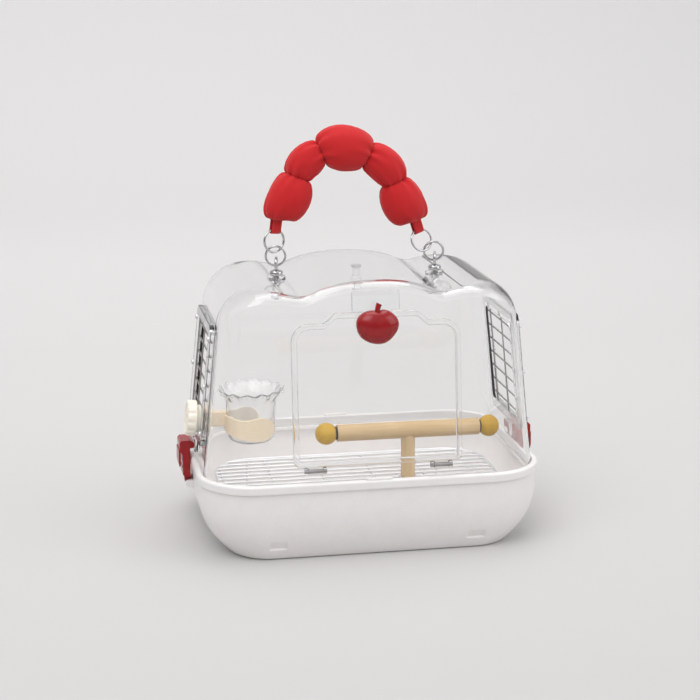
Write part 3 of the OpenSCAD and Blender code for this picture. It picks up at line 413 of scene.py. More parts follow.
@dataclass(frozen=True)
class Studio:
    """Pale floor and backdrop, soft lights and the photograph's camera.

    Attributes:
        eye: Place of the camera.
        turn: Turn of its view to the right, in radians.
        tilt: Tilt of its view downward, in radians.
        lens: Focal length on a 36 mm sensor.
    """

    eye: Point = (-0.2992, -1.5349, 0.5341)
    turn: float = 0.189
    tilt: float = 0.233
    lens: float = 89.9

    def build(self) -> None:
        """Makes the floor, the lights, the world and the camera."""
        self._floor()
        self._world()
        self._light("key", (-0.9, -1.0, 1.9), (0.0, 0.0, 0.1), 1.6, 21.0)
        self._light("fill", (1.7, -0.9, 1.1), (0.0, 0.0, 0.15), 1.6, 12.0)
        self._light("top", (0.1, 0.5, 2.2), (0.0, 0.0, 0.1), 1.5, 15.0)
        self._camera()

    def _floor(self) -> None:
        """One sheet that runs back and curves up."""
        reach, back, rise, radius = 6.0, 3.2, 4.0, 1.2
        profile = [(-6.0, 0.0), (back - radius, 0.0)]
        for k in range(1, 17):
            a = math.pi / 2 * k / 16
            profile.append((back - radius + radius * math.sin(a), radius - radius * math.cos(a)))
        profile.append((back, rise))
        points = [(x, y, z) for y, z in profile for x in (-reach, reach)]
        faces = [(2 * k, 2 * k + 1, 2 * k + 3, 2 * k + 2) for k in range(len(profile) - 1)]
        mesh = bpy.data.meshes.new("floor")
        mesh.from_pydata(points, [], faces)
        mesh.shade_smooth()
        floor = bpy.data.objects.new("floor", mesh)
        bpy.context.scene.collection.objects.link(floor)
        mesh.materials.append(self._paper())

    @staticmethod
    def _paper() -> bpy.types.Material:
        """Matt paper with painted light: darker toward the front, paler toward the back.

        Returns:
            The material.
        """
        mat = bpy.data.materials.new("floor_paper")
        mat.use_nodes = True
        tree = mat.node_tree
        place = tree.nodes.new("ShaderNodeTexCoord")
        axes = tree.nodes.new("ShaderNodeSeparateXYZ")
        span = add_node(tree, "ShaderNodeMapRange", From_Min=-0.4, From_Max=3.2)
        ramp = tree.nodes.new("ShaderNodeValToRGB")
        # Painted light: the brightness ramps from darker at the front to pale at the back.
        painted_light_tones = ((0.0, 0.54), (0.18, 0.61), (0.31, 0.67), (0.5, 0.8), (0.67, 0.88), (1.0, 0.97))
        marks = ramp.color_ramp.elements
        while len(marks) < len(painted_light_tones):
            marks.new(0.5)
        for mark, (at, tone) in zip(marks, painted_light_tones):
            mark.position = at
            mark.color = (tone, tone * 0.985, tone * 0.975, 1.0)
        shader = tree.nodes["Principled BSDF"]
        shader.inputs["Roughness"].default_value = 0.85
        tree.links.new(place.outputs["Object"], axes.inputs["Vector"])
        tree.links.new(axes.outputs["Y"], span.inputs["Value"])
        tree.links.new(span.outputs["Result"], ramp.inputs["Fac"])
        tree.links.new(ramp.outputs["Color"], shader.inputs["Base Color"])
        return mat

    @staticmethod
    def _world() -> None:
        """Pale light from all round, dimmer toward the horizon."""
        world = bpy.data.worlds.new("world")
        world.use_nodes = True
        tree = world.node_tree
        ground = tree.nodes["Background"]
        ground.inputs["Color"].default_value = (0.97, 0.98, 1.0, 1.0)
        place = tree.nodes.new("ShaderNodeTexCoord")
        axes = tree.nodes.new("ShaderNodeSeparateXYZ")
        span = add_node(tree, "ShaderNodeMapRange", From_Min=0.02, From_Max=0.6, To_Min=0.25,
                        To_Max=0.75)
        span.interpolation_type = "SMOOTHSTEP"
        tree.links.new(place.outputs["Generated"], axes.inputs["Vector"])
        tree.links.new(axes.outputs["Z"], span.inputs["Value"])
        ray = tree.nodes.new("ShaderNodeLightPath")
        through = tree.nodes.new("ShaderNodeMix")
        through.inputs[3].default_value = 0.75
        tree.links.new(ray.outputs["Is Transmission Ray"], through.inputs[0])
        tree.links.new(span.outputs["Result"], through.inputs[2])
        tree.links.new(through.outputs[0], ground.inputs["Strength"])
        bpy.context.scene.world = world

    @staticmethod
    def _light(name: str, place: Point, aim: Point, size: float, power: float) -> None:
        """A square soft light that faces a point.

        Args:
            name: Name of the lamp.
            place: Where it stands.
            aim: Point that it faces.
            size: Side of the square.
            power: Power in watts.
        """
        lamp = bpy.data.lights.new(name, "AREA")
        lamp.size = size
        lamp.energy = power
        lamp.color = (1.0, 0.985, 0.97)
        obj = bpy.data.objects.new(name, lamp)
        obj.location = place
        way = Vector(aim) - Vector(place)
        obj.rotation_euler = way.to_track_quat("-Z", "Y").to_euler()
        bpy.context.scene.collection.objects.link(obj)

    def _camera(self) -> None:
        """The photograph's view."""
        data = bpy.data.cameras.new("camera")
        data.lens = self.lens
        data.sensor_width = 36.0
        data.clip_end = 50.0
        camera = bpy.data.objects.new("camera", data)
        camera.location = self.eye
        camera.rotation_euler = (math.pi / 2 - self.tilt, 0.0, -self.turn)
        bpy.context.scene.collection.objects.link(camera)
        bpy.context.scene.camera = camera
        bpy.context.scene.view_settings.view_transform = "Standard"


# Mesh helpers


def loft(rings: Sequence[Ring], capped: bool = True, strips: bool = False) -> Shape:
    """Skin through rings of equal length.

    Args:
        rings: Rings in order, each counter-clockwise about the way they run.
        capped: Whether both ends are closed.
        strips: Whether the ends are closed by strips from front to back.

    Returns:
        The points and the faces.
    """
    n, m = len(rings[0]), len(rings)
    points = [p for ring in rings for p in ring]
    faces = [(i * n + j, i * n + (j + 1) % n, (i + 1) * n + (j + 1) % n, (i + 1) * n + j)
             for i in range(m - 1) for j in range(n)]
    if capped and strips:
        for j in range(n // 2 - 1):
            faces.append((n - 1 - j, n - 2 - j, j + 1, j))
            base = (m - 1) * n
            faces.append((base + j, base + j + 1, base + n - 2 - j, base + n - 1 - j))
    elif capped:
        faces.append(tuple(reversed(range(n))))
        faces.append(tuple(range((m - 1) * n, m * n)))
    return points, faces


def dress(node: bpy.types.Object, finish: Finish | ClearFinish) -> None:
    """Gives a carried-over CAD node its finish and smooth shading below 32 degrees.

    Args:
        node: The node's object.
        finish: Its material.
    """
    node.data.materials.clear()
    node.data.materials.append(finish.build())
    for slot in node.material_slots:
        slot.material = finish.build()
    node.modifiers.new("smooth", "NODES").node_group = smooth_by_angle()


def smooth_by_angle() -> bpy.types.NodeTree:
    """Geometry Nodes: merges split points and shades smooth where faces meet gently.

    Returns:
        The tree, made once.
    """
    name = "smooth_by_angle"
    tree = bpy.data.node_groups.get(name)
    if tree:
        return tree
    tree = bpy.data.node_groups.new(name, "GeometryNodeTree")
    tree.interface.new_socket("Geometry", in_out="INPUT", socket_type="NodeSocketGeometry")
    limit = tree.interface.new_socket("Angle", in_out="INPUT", socket_type="NodeSocketFloat")
    limit.default_value = math.radians(32)
    tree.interface.new_socket("Geometry", in_out="OUTPUT", socket_type="NodeSocketGeometry")
    start = tree.nodes.new("NodeGroupInput")
    end = tree.nodes.new("NodeGroupOutput")
    merge = add_node(tree, "GeometryNodeMergeByDistance", Distance=0.002 * MM)
    angle = tree.nodes.new("GeometryNodeInputMeshEdgeAngle")
    gentle = tree.nodes.new("FunctionNodeCompare")
    gentle.data_type = "FLOAT"
    gentle.operation = "LESS_EQUAL"
    faces = tree.nodes.new("GeometryNodeSetShadeSmooth")
    faces.domain = "FACE"
    edges = tree.nodes.new("GeometryNodeSetShadeSmooth")
    edges.domain = "EDGE"
    link = tree.links.new
    link(start.outputs["Geometry"], merge.inputs["Geometry"])
    link(merge.outputs["Geometry"], faces.inputs["Geometry"])
    link(faces.outputs["Geometry"], edges.inputs["Geometry"])
    link(angle.outputs["Unsigned Angle"], gentle.inputs[0])
    link(start.outputs["Angle"], gentle.inputs[1])
    link(gentle.outputs["Result"], edges.inputs["Shade Smooth"])
    link(edges.outputs["Geometry"], end.inputs["Geometry"])
    return tree


# Shapes in millimetres


def smoothstep(u: float) -> float:
    """Soft step from 0 to 1."""
    u = max(0.0, min(1.0, u))
    return u * u * (3 - 2 * u)


def front_half(xs: Sequence[float], steps: int) -> list[tuple[int, float]]:
    """Left corner, points along the front and right corner of a rounded outline.

    Args:
        xs: Places along the front.
        steps: Steps in a corner.

    Returns:
        Pairs of kind (-1, 0, 1) and angle or x.
    """
    left = [(-1, 90 * k / steps) for k in range(steps + 1)]
    right = [(1, 90 * k / steps) for k in range(steps, -1, -1)]
    return left + [(0, x) for x in xs] + right


def rect_point(kind: int, value: float, hx: float, hy: float, r: float) -> tuple[float, float]:
    """Point of a rounded rectangle for one entry of front_half, kept on its straight part.

    Args:
        kind: -1 or 1 for a corner, 0 for the front.
        value: Angle or x.
        hx: Half length.
        hy: Half depth.
        r: Corner radius.

    Returns:
        The point's x and y.
    """
    if kind == 0:
        return max(r - hx, min(hx - r, value)), -hy
    a = math.radians(value)
    return kind * (hx - r + r * math.cos(a)), -(hy - r + r * math.sin(a))


def whole(front: Ring) -> Ring:
    """A closed ring from its front half."""
    return front + [(x, -y, z) for x, y, z in reversed(front)]


def level(hx: float, hy: float, r: float, z: float, xs: Sequence[float] = (),
          steps: int = 16) -> Ring:
    """A level ring of a rounded rectangle."""
    return whole([(*rect_point(k, v, hx, hy, r), z) for k, v in front_half(xs, steps)])


def circle_ring(r: float, z: float, n: int = 48) -> Ring:
    """A level ring about the Z axis."""
    return [(r * math.cos(2 * math.pi * k / n), r * math.sin(2 * math.pi * k / n), z)
            for k in range(n)]


def placed(points: Iterable, matrix: Matrix) -> list[Point]:
    """Points moved by a matrix."""
    return [tuple(matrix @ Vector(p)) for p in points]


def lathe(profile: Sequence[tuple[float, float]], n: int = 48) -> Shape:
    """A closed turned shape about Z.

    Args:
        profile: Radius and height, from the lower end to the upper end.
        n: Steps round it.

    Returns:
        The points and the faces.
    """
    return loft([circle_ring(max(r, 1e-3), z, n) for r, z in profile])


def sweep(path: Sequence[Vector], section: Callable[[float], Sequence[tuple[float, float]]],
          side: Callable[[float], Vector], closed: bool = False) -> Shape:
    """A section carried along a path.

    Args:
        path: Points of the path.
        section: Outline at a share of the way, as (across, up) pairs.
        side: Direction across the section at a share of the way.
        closed: Whether the path closes on itself.

    Returns:
        The points and the faces.
    """
    count = len(path)
    rings = []
    for k, here in enumerate(path):
        before = path[k - 1] if closed or k else here
        after = path[(k + 1) % count] if closed or k < count - 1 else here
        along = (after - before).normalized()
        share = k / (count - 1)
        across = side(share)
        across = (across - along * across.dot(along)).normalized()
        up = along.cross(across)
        rings.append([tuple(here + across * a + up * b) for a, b in section(share)])
    n = len(rings[0])
    points, faces = loft(rings, capped=not closed)
    if closed:
        base = (count - 1) * n
        faces += [(base + j, base + (j + 1) % n, (j + 1) % n, j) for j in range(n)]
    return points, faces


def oval(width: float, height: float, n: int = 12, square: float = 1.0) -> Outline:
    """A section outline; a square above 1 gives flatter sides.

    Args:
        width: Full width.
        height: Full height.
        n: Points round it.
        square: 1 for an ellipse.

    Returns:
        The outline.
    """
    out = []
    for k in range(n):
        a = 2 * math.pi * (k + 0.5) / n
        c, s = math.cos(a), math.sin(a)
        out.append((width / 2 * math.copysign(abs(c) ** (1 / square), c),
                    height / 2 * math.copysign(abs(s) ** (1 / square), s)))
    return out


def torus(big: float, wire: float, matrix: Matrix, n: int = 72, m: int = 18) -> Shape:
    """A wire ring about the matrix's Z axis.

    Args:
        big: Diameter of the ring's middle line.
        wire: Diameter of the wire.
        matrix: Place of the ring.
        n: Steps round the ring.
        m: Steps round the wire.

    Returns:
        The points and the faces.
    """
    rings = []
    for k in range(n):
        a = 2 * math.pi * k / n
        out = Vector((math.cos(a), math.sin(a), 0))
        rings.append([tuple(matrix @ (out * (big / 2 + wire / 2 * math.cos(t))
                                      + Vector((0, 0, wire / 2 * math.sin(t)))))
                      for t in (2 * math.pi * j / m for j in range(m))])
    points, faces = loft(rings, capped=False)
    base = (n - 1) * m
    faces += [(base + j, base + (j + 1) % m, (j + 1) % m, j) for j in range(m)]
    return points, [tuple(reversed(f)) for f in faces]


def rounded_box(size: Point, r: float) -> Shape:
    """A box with rounded upright edges and eased ends, about its middle.

    Args:
        size: Full sizes.
        r: Radius of the upright edges.

    Returns:
        The points and the faces.
    """
    x, y, z = size[0] / 2, size[1] / 2, size[2] / 2
    e = min(r, 0.6, z * 0.5)
    return loft([level(x - e, y - e, max(0.2, r - e), -z, steps=6),
                 level(x, y, r, -z + e, steps=6), level(x, y, r, z - e, steps=6),
                 level(x - e, y - e, max(0.2, r - e), z, steps=6)])


def joined(*parts: Shape) -> Shape:
    """Several point and face lists as one.

    Args:
        parts: The shapes.

    Returns:
        The points and the faces.
    """
    points, faces = [], []
    for p, f in parts:
        base = len(points)
        points += list(p)
        faces += [tuple(i + base for i in face) for face in f]
    return points, faces


def turned(part: Shape, matrix: Matrix) -> Shape:
    """A point and face list moved by a matrix, with its faces kept outward.

    Args:
        part: The shape.
        matrix: The move, which may mirror.

    Returns:
        The points and the faces.
    """
    points, faces = part
    if matrix.determinant() < 0:
        faces = [tuple(reversed(f)) for f in faces]
    return placed(points, matrix), faces


MIRROR = Matrix.Scale(-1, 4, (1, 0, 0))


def rot(axis: str, degrees: float) -> Matrix:
    """Rotation about an axis."""
    return Matrix.Rotation(math.radians(degrees), 4, axis)


def move(x: float, y: float, z: float) -> Matrix:
    """Translation."""
    return Matrix.Translation((x, y, z))


def raw_object(name: str, part: Shape) -> bpy.types.Object:
    """An object in metres that isn't a piece yet.

    Args:
        name: Object name.
        part: The shape in millimetres.

    Returns:
        The object.
    """
    mesh = bpy.data.meshes.new(name)
    mesh.from_pydata([(x * MM, y * MM, z * MM) for x, y, z in part[0]], [], part[1])
    mesh.update()
    mesh.shade_smooth()
    obj = bpy.data.objects.new(name, mesh)
    bpy.context.scene.collection.objects.link(obj)
    return obj


def settle(obj: bpy.types.Object) -> None:
    """Turns an object's modifiers into its mesh.

    Args:
        obj: The object.
    """
    bpy.context.view_layer.update()
    seen = obj.evaluated_get(bpy.context.evaluated_depsgraph_get())
    mesh = bpy.data.meshes.new_from_object(seen)
    obj.modifiers.clear()
    old = obj.data
    obj.data = mesh
    bpy.data.meshes.remove(old)


def weld(obj: bpy.types.Object) -> None:
    """Merges the points of a mesh that fall together.

    Args:
        obj: The object.
    """
    work = bmesh.new()
    work.from_mesh(obj.data)
    bmesh.ops.remove_doubles(work, verts=work.verts, dist=0.01 * MM)
    work.to_mesh(obj.data)
    work.free()
    obj.data.shade_smooth()


def combine(obj: bpy.types.Object, parts: Sequence[Shape], operation: str) -> None:
    """Joins shapes to an object or cuts them out of it.

    Args:
        obj: The object that changes.
        parts: Closed shapes in millimetres.
        operation: UNION or DIFFERENCE.
    """
    tools = [raw_object(f"{obj.name}_tool_{k}", part) for k, part in enumerate(parts)]
    for tool in tools:
        mod = obj.modifiers.new("combine", "BOOLEAN")
        mod.operation = operation
        mod.solver = "EXACT"
        mod.object = tool
    settle(obj)
    for tool in tools:
        mesh = tool.data
        bpy.data.objects.remove(tool)
        bpy.data.meshes.remove(mesh)


def piece(name: str, part: Shape | bpy.types.Object, finish: Finish | ClearFinish,
          body: str, *, stands_for: Sequence[str] = (), edge: float = 0.0,
          angle: float = 35.0) -> bpy.types.Object:
    """Finishes a shape as a piece of the model.

    Args:
        name: Piece name.
        part: Points and faces in millimetres, or an object made from them.
        finish: Its material.
        body: CAD body that carries it.
        stands_for: CAD nodes that it replaces.
        edge: Rounding of its sharp edges in millimetres.
        angle: Least angle of an edge that is rounded, in degrees.

    Returns:
        The piece.
    """
    obj = part if isinstance(part, bpy.types.Object) else raw_object(name, part)
    obj.name = name
    mesh = obj.data
    mesh.materials.clear()
    mesh.materials.append(finish.build())
    weld(obj)
    if edge:
        bevel = obj.modifiers.new("edges", "BEVEL")
        bevel.width = edge * MM
        bevel.segments = 3
        bevel.limit_method = "ANGLE"
        bevel.angle_limit = math.radians(angle)
        even = obj.modifiers.new("even", "WEIGHTED_NORMAL")
        even.keep_sharp = True
        settle(obj)
    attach(obj, body)
    if stands_for:
        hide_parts(*stands_for)
    log.info("piece %s on %s: %d faces", name, body, len(obj.data.polygons))
    return obj


# Sub-assemblies of the carrier


@dataclass
class Tub:
    """White tub with its rim, ledge, dents, tabs and latch bosses. Millimetres."""

    length: float = 310.0
    depth: float = 222.0
    height: float = 72.0
    corner: float = 51.0
    foot_corner: float = 34.0
    foot_in_end: float = 28.0
    foot_in_front: float = 13.0
    curve: float = 50.0
    wall: float = 2.8
    floor: float = 2.8
    band: float = 7.6
    proud: float = 1.8
    rim_end: float = 6.0
    rim_front: float = 7.0
    dent: float = 16.0
    dent_x: float = 89.0
    tab: float = 23.0
    skirt: float = 8.0
    gap: float = 0.35
    latch_low: float = 47.0
    latch_pin: float = 3.0
    latch_width: float = 22.0

    def share(self, z: float) -> float:
        """Share of the foot's inset at a height."""
        return max(0.0, 1 - z / self.curve) ** 2.2

    def hx(self, z: float) -> float:
        """Half length of the wall at a height."""
        return self.length / 2 - self.proud - self.foot_in_end * self.share(z)

    def hy(self, z: float) -> float:
        """Half depth of the wall at a height."""
        return self.depth / 2 - self.proud - self.foot_in_front * self.share(z)

    def radius(self, z: float) -> float:
        """Corner radius of the wall at a height."""
        top = self.corner - self.proud
        return top - (top - self.foot_corner) * self.share(z)

    def _xs(self) -> list[float]:
        """Places along the front, close together at the dents.

        Returns:
            The places in order.
        """
        h = self.dent / 2
        near = [-h - 2.4, -h - 1.2, -h - 0.4, -h + 0.4, -h + 1.2, -h + 3, -3, 0]
        one = near + [-v for v in reversed(near[:-1])]
        left = [-self.dent_x + v for v in one]
        return left + [-60, -36, -12, 12, 36, 60] + [self.dent_x + v for v in one]

    def _dented(self, ring: Ring) -> Ring:
        """A ring of the outer wall with the two dents pressed in.

        Args:
            ring: The ring without dents.

        Returns:
            The dented ring.
        """
        out = []
        tilt = math.radians(32)
        for x, y, z in ring:
            near = abs(abs(x) - self.dent_x)
            half = self.dent / 2
            if y < 0 and near < half + 2.5 and 9 < z < 27:
                up = (z - 18 - 0.2 * math.sin(tilt)) / math.cos(tilt)
                plane = -self.hy(18) + 0.2 * math.cos(tilt) - up * math.sin(tilt)
                press = max(0.0, plane - y)
                press *= smoothstep((half + 0.9 - near) / 1.8) * smoothstep((z - 10.4) / 1.6)
                y += press
            out.append((x, y, z))
        return out

    def build(self) -> None:
        """Makes the tub."""
        xs = self._xs()

        def ring(hx: float, hy: float, r: float, z: float) -> Ring:
            """A level ring of the tub."""
            return level(hx, hy, r, z, xs, 18)

        def wall(z: float, inset: float = 0.0) -> Ring:
            """A ring of the wall, its dents pressed in."""
            return self._dented(ring(self.hx(z) - inset, self.hy(z) - inset,
                                     self.radius(z) - inset, z))

        top, hl, hd = self.height, self.length / 2, self.depth / 2
        low = top - self.band
        rings = [ring(self.hx(0) - 3, self.hy(0) - 3, self.foot_corner - 3, 0.0),
                 ring(self.hx(0) - 1.0, self.hy(0) - 1.0, self.foot_corner - 1, 0.3),
                 wall(1.4, 0.1)]
        z = 2.6
        while z < self.curve + 4:
            rings.append(wall(z))
            z += 0.9 if 9 < z < 27 else 2.6
        rings += [wall(low - 3.0), wall(low - 1.4)]
        for k in range(5):
            a = math.pi / 2 * k / 4
            rings.append(ring(hl - self.proud + self.proud * math.sin(a) * 0.98,
                              hd - self.proud + self.proud * math.sin(a) * 0.98,
                              self.corner - self.proud + self.proud * math.sin(a),
                              low - 0.7 + 1.2 * (1 - math.cos(a))))
        rings.append(ring(hl, hd, self.corner, low + 1.6))
        rings.append(ring(hl, hd, self.corner, top - 2.4))
        for k in range(1, 7):
            a = math.pi / 2 * k / 6
            e = 2.2 * (1 - math.cos(a))
            rings.append(ring(hl - e, hd - e, self.corner - e, top - 2.2 + 2.2 * math.sin(a)))
        lip_x = hl - self.rim_end + math.tan(math.radians(6)) * self.skirt + self.gap + 0.1
        lip_y = hd - self.rim_front + math.tan(math.radians(6.16)) * self.skirt + self.gap + 0.1
        lip_r = self.corner - self.rim_end + 1
        ledge = top - self.skirt - self.gap
        for e, dz in ((1.0, 0.0), (0.4, 0.15), (0.12, 0.4), (0.0, 0.9)):
            rings.append(ring(lip_x + e, lip_y + e, lip_r + e, top - dz))
        rings += [ring(lip_x, lip_y, lip_r, ledge + 0.2), ring(lip_x, lip_y, lip_r, ledge),
                  ring(lip_x - 3, lip_y - 3, lip_r - 3, ledge),
                  ring(lip_x - 3, lip_y - 3, lip_r - 3, ledge - 3),
                  ring(self.hx(57) - self.wall, lip_y, lip_r, ledge - 6.5)]
        for k in range(13):
            z = self.curve * (1 - k / 12.5)
            inset = self.wall + 0.3
            rings.append(ring(self.hx(z) - inset, self.hy(z) - inset - 0.3,
                              self.radius(z) - inset, max(z, self.floor + 0.3)))
        rings.append(ring(self.hx(0) - 5, self.hy(0) - 5, self.foot_corner - 5, self.floor))
        shell = raw_object("tub_body", loft(rings, strips=True))
        weld(shell)
        extra = [turned(rounded_box((self.tab, self.rim_front - 3.6, 3.0), 1.2),
                        move(0, s * (-hd + 1.2 + (self.rim_front - 3.6) / 2), top + 0.5))
                 for s in (1, -1)]
        combine(shell, extra, "UNION")
        piece("tub_body", shell, TUB_WHITE, "base", stands_for=["base_tub"], edge=0.35, angle=40)
        self._bosses()

    def _bosses(self) -> None:
        """The two small rounded lugs at each side that carry a latch."""
        w = self.latch_width / 4 - self.gap
        middle = self.latch_width / 2 - w / 2
        out = self.latch_pin / 2 + 2.4
        x = self.hx(self.latch_low) + out
        r = self.latch_pin / 2 + 1.7
        lug = [(r * math.cos(t), r * math.sin(t)) for t in
               (math.radians(-90 + 180 * k / 16) for k in range(17))]
        lug += [(-out - 0.6, r), (-out - 0.6, -r)]
        rings = [[(x + a, y, self.latch_low + b) for a, b in lug] for y in (-w / 2, w / 2)]
        one = loft([list(reversed(g)) for g in rings])
        for flip, name in ((Matrix(), "right"), (MIRROR, "left")):
            for s, label in ((1, "back"), (-1, "front")):
                piece(f"{name}_latch_lug_{label}", turned(one, flip @ move(0, s * middle, 0)),
                      TUB_WHITE, "base", edge=0.5)


@dataclass
class Cover:
    """Clear moulded cover: waved roof, door and window openings, bosses and lugs."""

    tub: Tub
    wall: float = 2.5
    rise: float = 171.8
    corner: float = 44.0
    top_corner: float = 38.0
    roof_corner: float = 22.0
    end_lean: float = 6.0
    front_lean: float = 6.16
    dip: float = 13.3
    shoulder: float = 7.1
    dip_x: float = 61.4
    shoulder_x: float = 105.0
    end_round: float = 33.7
    edge_round: float = 10.0
    window_width: float = 86.0
    window_low: float = 28.0
    window_high: float = 121.5
    grille_wire: float = 1.6
    eye_x: float = 73.3
    eye_rise: float = 2.7
    eye_d: float = 10.0
    eye_wire: float = 2.6
    collar: float = 5.0
    lug_proud: float = 3.2

    def __post_init__(self) -> None:
        """Derives the places that other pieces share."""
        self.length = self.tub.length / 2 - self.tub.rim_end
        self.depth = self.tub.depth / 2 - self.tub.rim_front
        self.rim = self.tub.height
        self.roof = self.rim + self.rise
        self.end_z = self.roof - self.shoulder - self.end_round
        self.slope_end = math.tan(math.radians(self.end_lean))
        self.slope_front = math.tan(math.radians(self.front_lean))
        self.win_low = self.window_low / math.cos(math.radians(self.end_lean))
        self.win_high = self.window_high / math.cos(math.radians(self.end_lean))
        self.foot = self.rim - self.tub.skirt
        self.rebate = 2 * self.grille_wire - 0.3 + 0.1
        self.lug_z = self.rim + 8
        self.lug_x = self.hx(self.lug_z) + self.lug_proud
        self.eye_z = self.roof + self.eye_rise
        self.eye_low = self.eye_z - self.eye_d / 2 - self.eye_wire / 2
        self.boss_top = self.eye_low - self.collar
        self.boss_low = self.roof_at(self.eye_x) - self.wall - 1.5

    def hx(self, z: float) -> float:
        """Half length at a height."""
        return self.length - self.slope_end * (z - self.rim)

    def hy(self, z: float) -> float:
        """Half depth at a height."""
        return self.depth - self.slope_front * (z - self.rim)

    def radius(self, z: float) -> float:
        """Corner radius at a height."""
        share = (z - self.rim) / (self.end_z - self.rim)
        return self.corner + (self.top_corner - self.corner) * share

    def roof_at(self, x: float) -> float:
        """Height of the roof's outer face along X, its valleys rounded."""
        return sum(self.roof_line(x + d) for d in (-6, -3, 0, 3, 6)) / 5

    def roof_line(self, x: float) -> float:
        """Height of the roof's outer face along X, its valleys sharp.

        Args:
            x: Place along X.

        Returns:
            The height.
        """
        a = abs(x)
        if a < self.dip_x:
            return self.roof - self.dip * (a / self.dip_x) ** 2.5
        u = min(1.0, (a - self.dip_x) / (self.shoulder_x - self.dip_x))
        return self.roof - self.dip + (self.dip - self.shoulder) * (1 - (1 - u) ** 2.2)

    def ring(self, t: float, inset: float, foot: float = -1.0) -> Ring:
        """A ring of the cover; t is 0 at the walls' top and 90 at the roof.

        Args:
            t: Angle up the rounded shoulder.
            inset: Distance inside the outer face.
            foot: Height of a ring of the foot, or -1.

        Returns:
            The ring.
        """
        corner = self.roof_corner
        reach = self.shoulder_x - corner - 1
        xs = [reach * k / 30 for k in range(-30, 31)]
        end_in = self.hx(self.end_z) - self.shoulder_x
        st, ct = math.sin(math.radians(t)), math.cos(math.radians(t))
        front = []
        for kind, value in front_half(xs, 18):
            if kind == 0:
                side, x0 = 0.0, value
            else:
                side = 1 - smoothstep(value / 90)
                x0 = self.shoulder_x - corner * (1 - math.cos(math.radians(value)))
            z_front = self.roof_at(x0) - self.edge_round * (1 - st)
            z_side = self.end_z + self.end_round * st
            z = foot if foot >= 0 else side * z_side + (1 - side) * z_front
            r = max(1.0, self.radius(z) * ct + corner * (1 - ct) - inset)
            x, y = rect_point(kind, value, self.hx(z) - end_in * (1 - ct) - inset,
                              self.hy(z) - self.edge_round * (1 - ct) - inset, r)
            front.append((x, y, z if foot >= 0 else z - inset * st))
        return whole(front)

    def end_plane(self) -> Matrix:
        """Plane of the right end wall: x outward, y back, z up the wall."""
        return move(self.length, 0, self.rim) @ rot("Y", -self.end_lean)

    def front_plane(self) -> Matrix:
        """Plane of the front wall: x right, y into the cover, z up the wall."""
        return move(0, -self.depth, self.rim) @ rot("X", -self.front_lean)

    def slab(self, w: float, h: float, r: float, x0: float, x1: float, s: float,
             soft: float = 0.0) -> Shape:
        """A plate in the end wall's plane, from x0 to x1 outward.

        Args:
            w: Width across the wall.
            h: Height up the wall.
            r: Corner radius.
            x0: Inner face.
            x1: Outer face.
            s: Lower edge.
            soft: Easing of the faces' edges.

        Returns:
            The points and the faces.
        """

        def outline(x: float, inset: float) -> Ring:
            """Outline at a place along X."""
            flat = level(w / 2 - inset, h / 2 - inset, max(0.3, r - inset), 0, steps=8)
            return [(x, a, b + s + h / 2) for a, b, _ in flat]

        steps = [(x0, soft), (x0 + soft, 0.0), (x1 - soft, 0.0), (x1, soft)] if soft \
            else [(x0, 0.0), (x1, 0.0)]
        return loft([outline(x, e) for x, e in steps])

    def build(self, door: Door) -> None:
        """Makes the cover.

        Args:
            door: The door, whose outline the opening follows.
        """
        turns = [90, 80, 70, 60, 50, 40, 30, 20, 10, 0]
        rings = [self.ring(t, self.wall) for t in turns]
        rings += [self.ring(0, self.wall, self.foot), self.ring(0, 0, self.foot)]
        rings += [self.ring(t, 0) for t in reversed(turns)]
        shell = raw_object("cover_clear", loft(rings, strips=True))
        adds, cuts = [], []
        for flip in (Matrix(), MIRROR):
            low, top = self.boss_low, self.boss_top
            adds.append(turned(lathe([(7.7, low), (8.5, low + 0.8), (8.5, top - 1.2), (7.6, top)],
                                     40), flip @ move(self.eye_x, 0, 0)))
            lug = rounded_box((4.4, 18, 12.5), 1.2)
            adds.append(turned(lug, flip @ move(self.lug_x - 2.2, 0, self.lug_z + 2.25)))
            cuts.append(turned(self.slab(self.window_width - 3, self.win_high - self.win_low - 3,
                                         5, -11, 1, self.win_low + 1.5),
                               flip @ self.end_plane()))
        adds += door.lugs()
        cuts.append(door.opening())
        combine(shell, adds, "UNION")
        combine(shell, cuts, "DIFFERENCE")
        piece("cover_clear", shell, CLEAR, "cover", stands_for=["cover_shell"], edge=0.45,
              angle=40)
        self._hook()

    def _hook(self) -> None:
        """The small turned post under the middle of the roof and its dark washer."""
        top = self.roof - self.wall - 0.4
        post = lathe([(3.4, top - 14.8), (4.3, top - 14.6), (4.7, top - 13.9), (4.7, top - 11.6),
                      (4.2, top - 10.9), (3.3, top - 9.2), (3.1, top - 7.0), (3.1, top - 3.6),
                      (3.6, top - 2.9), (4.3, top - 2.1)], 40)
        piece("roof_post", post, CLEAR_FRAME, "cover", stands_for=["roof_hook"])
        washer = lathe([(4.3, top - 1.9), (4.7, top - 1.7), (4.7, top - 0.5), (4.4, top - 0.1)], 40)
        piece("roof_post_washer", washer, DARK_STEEL, "cover")


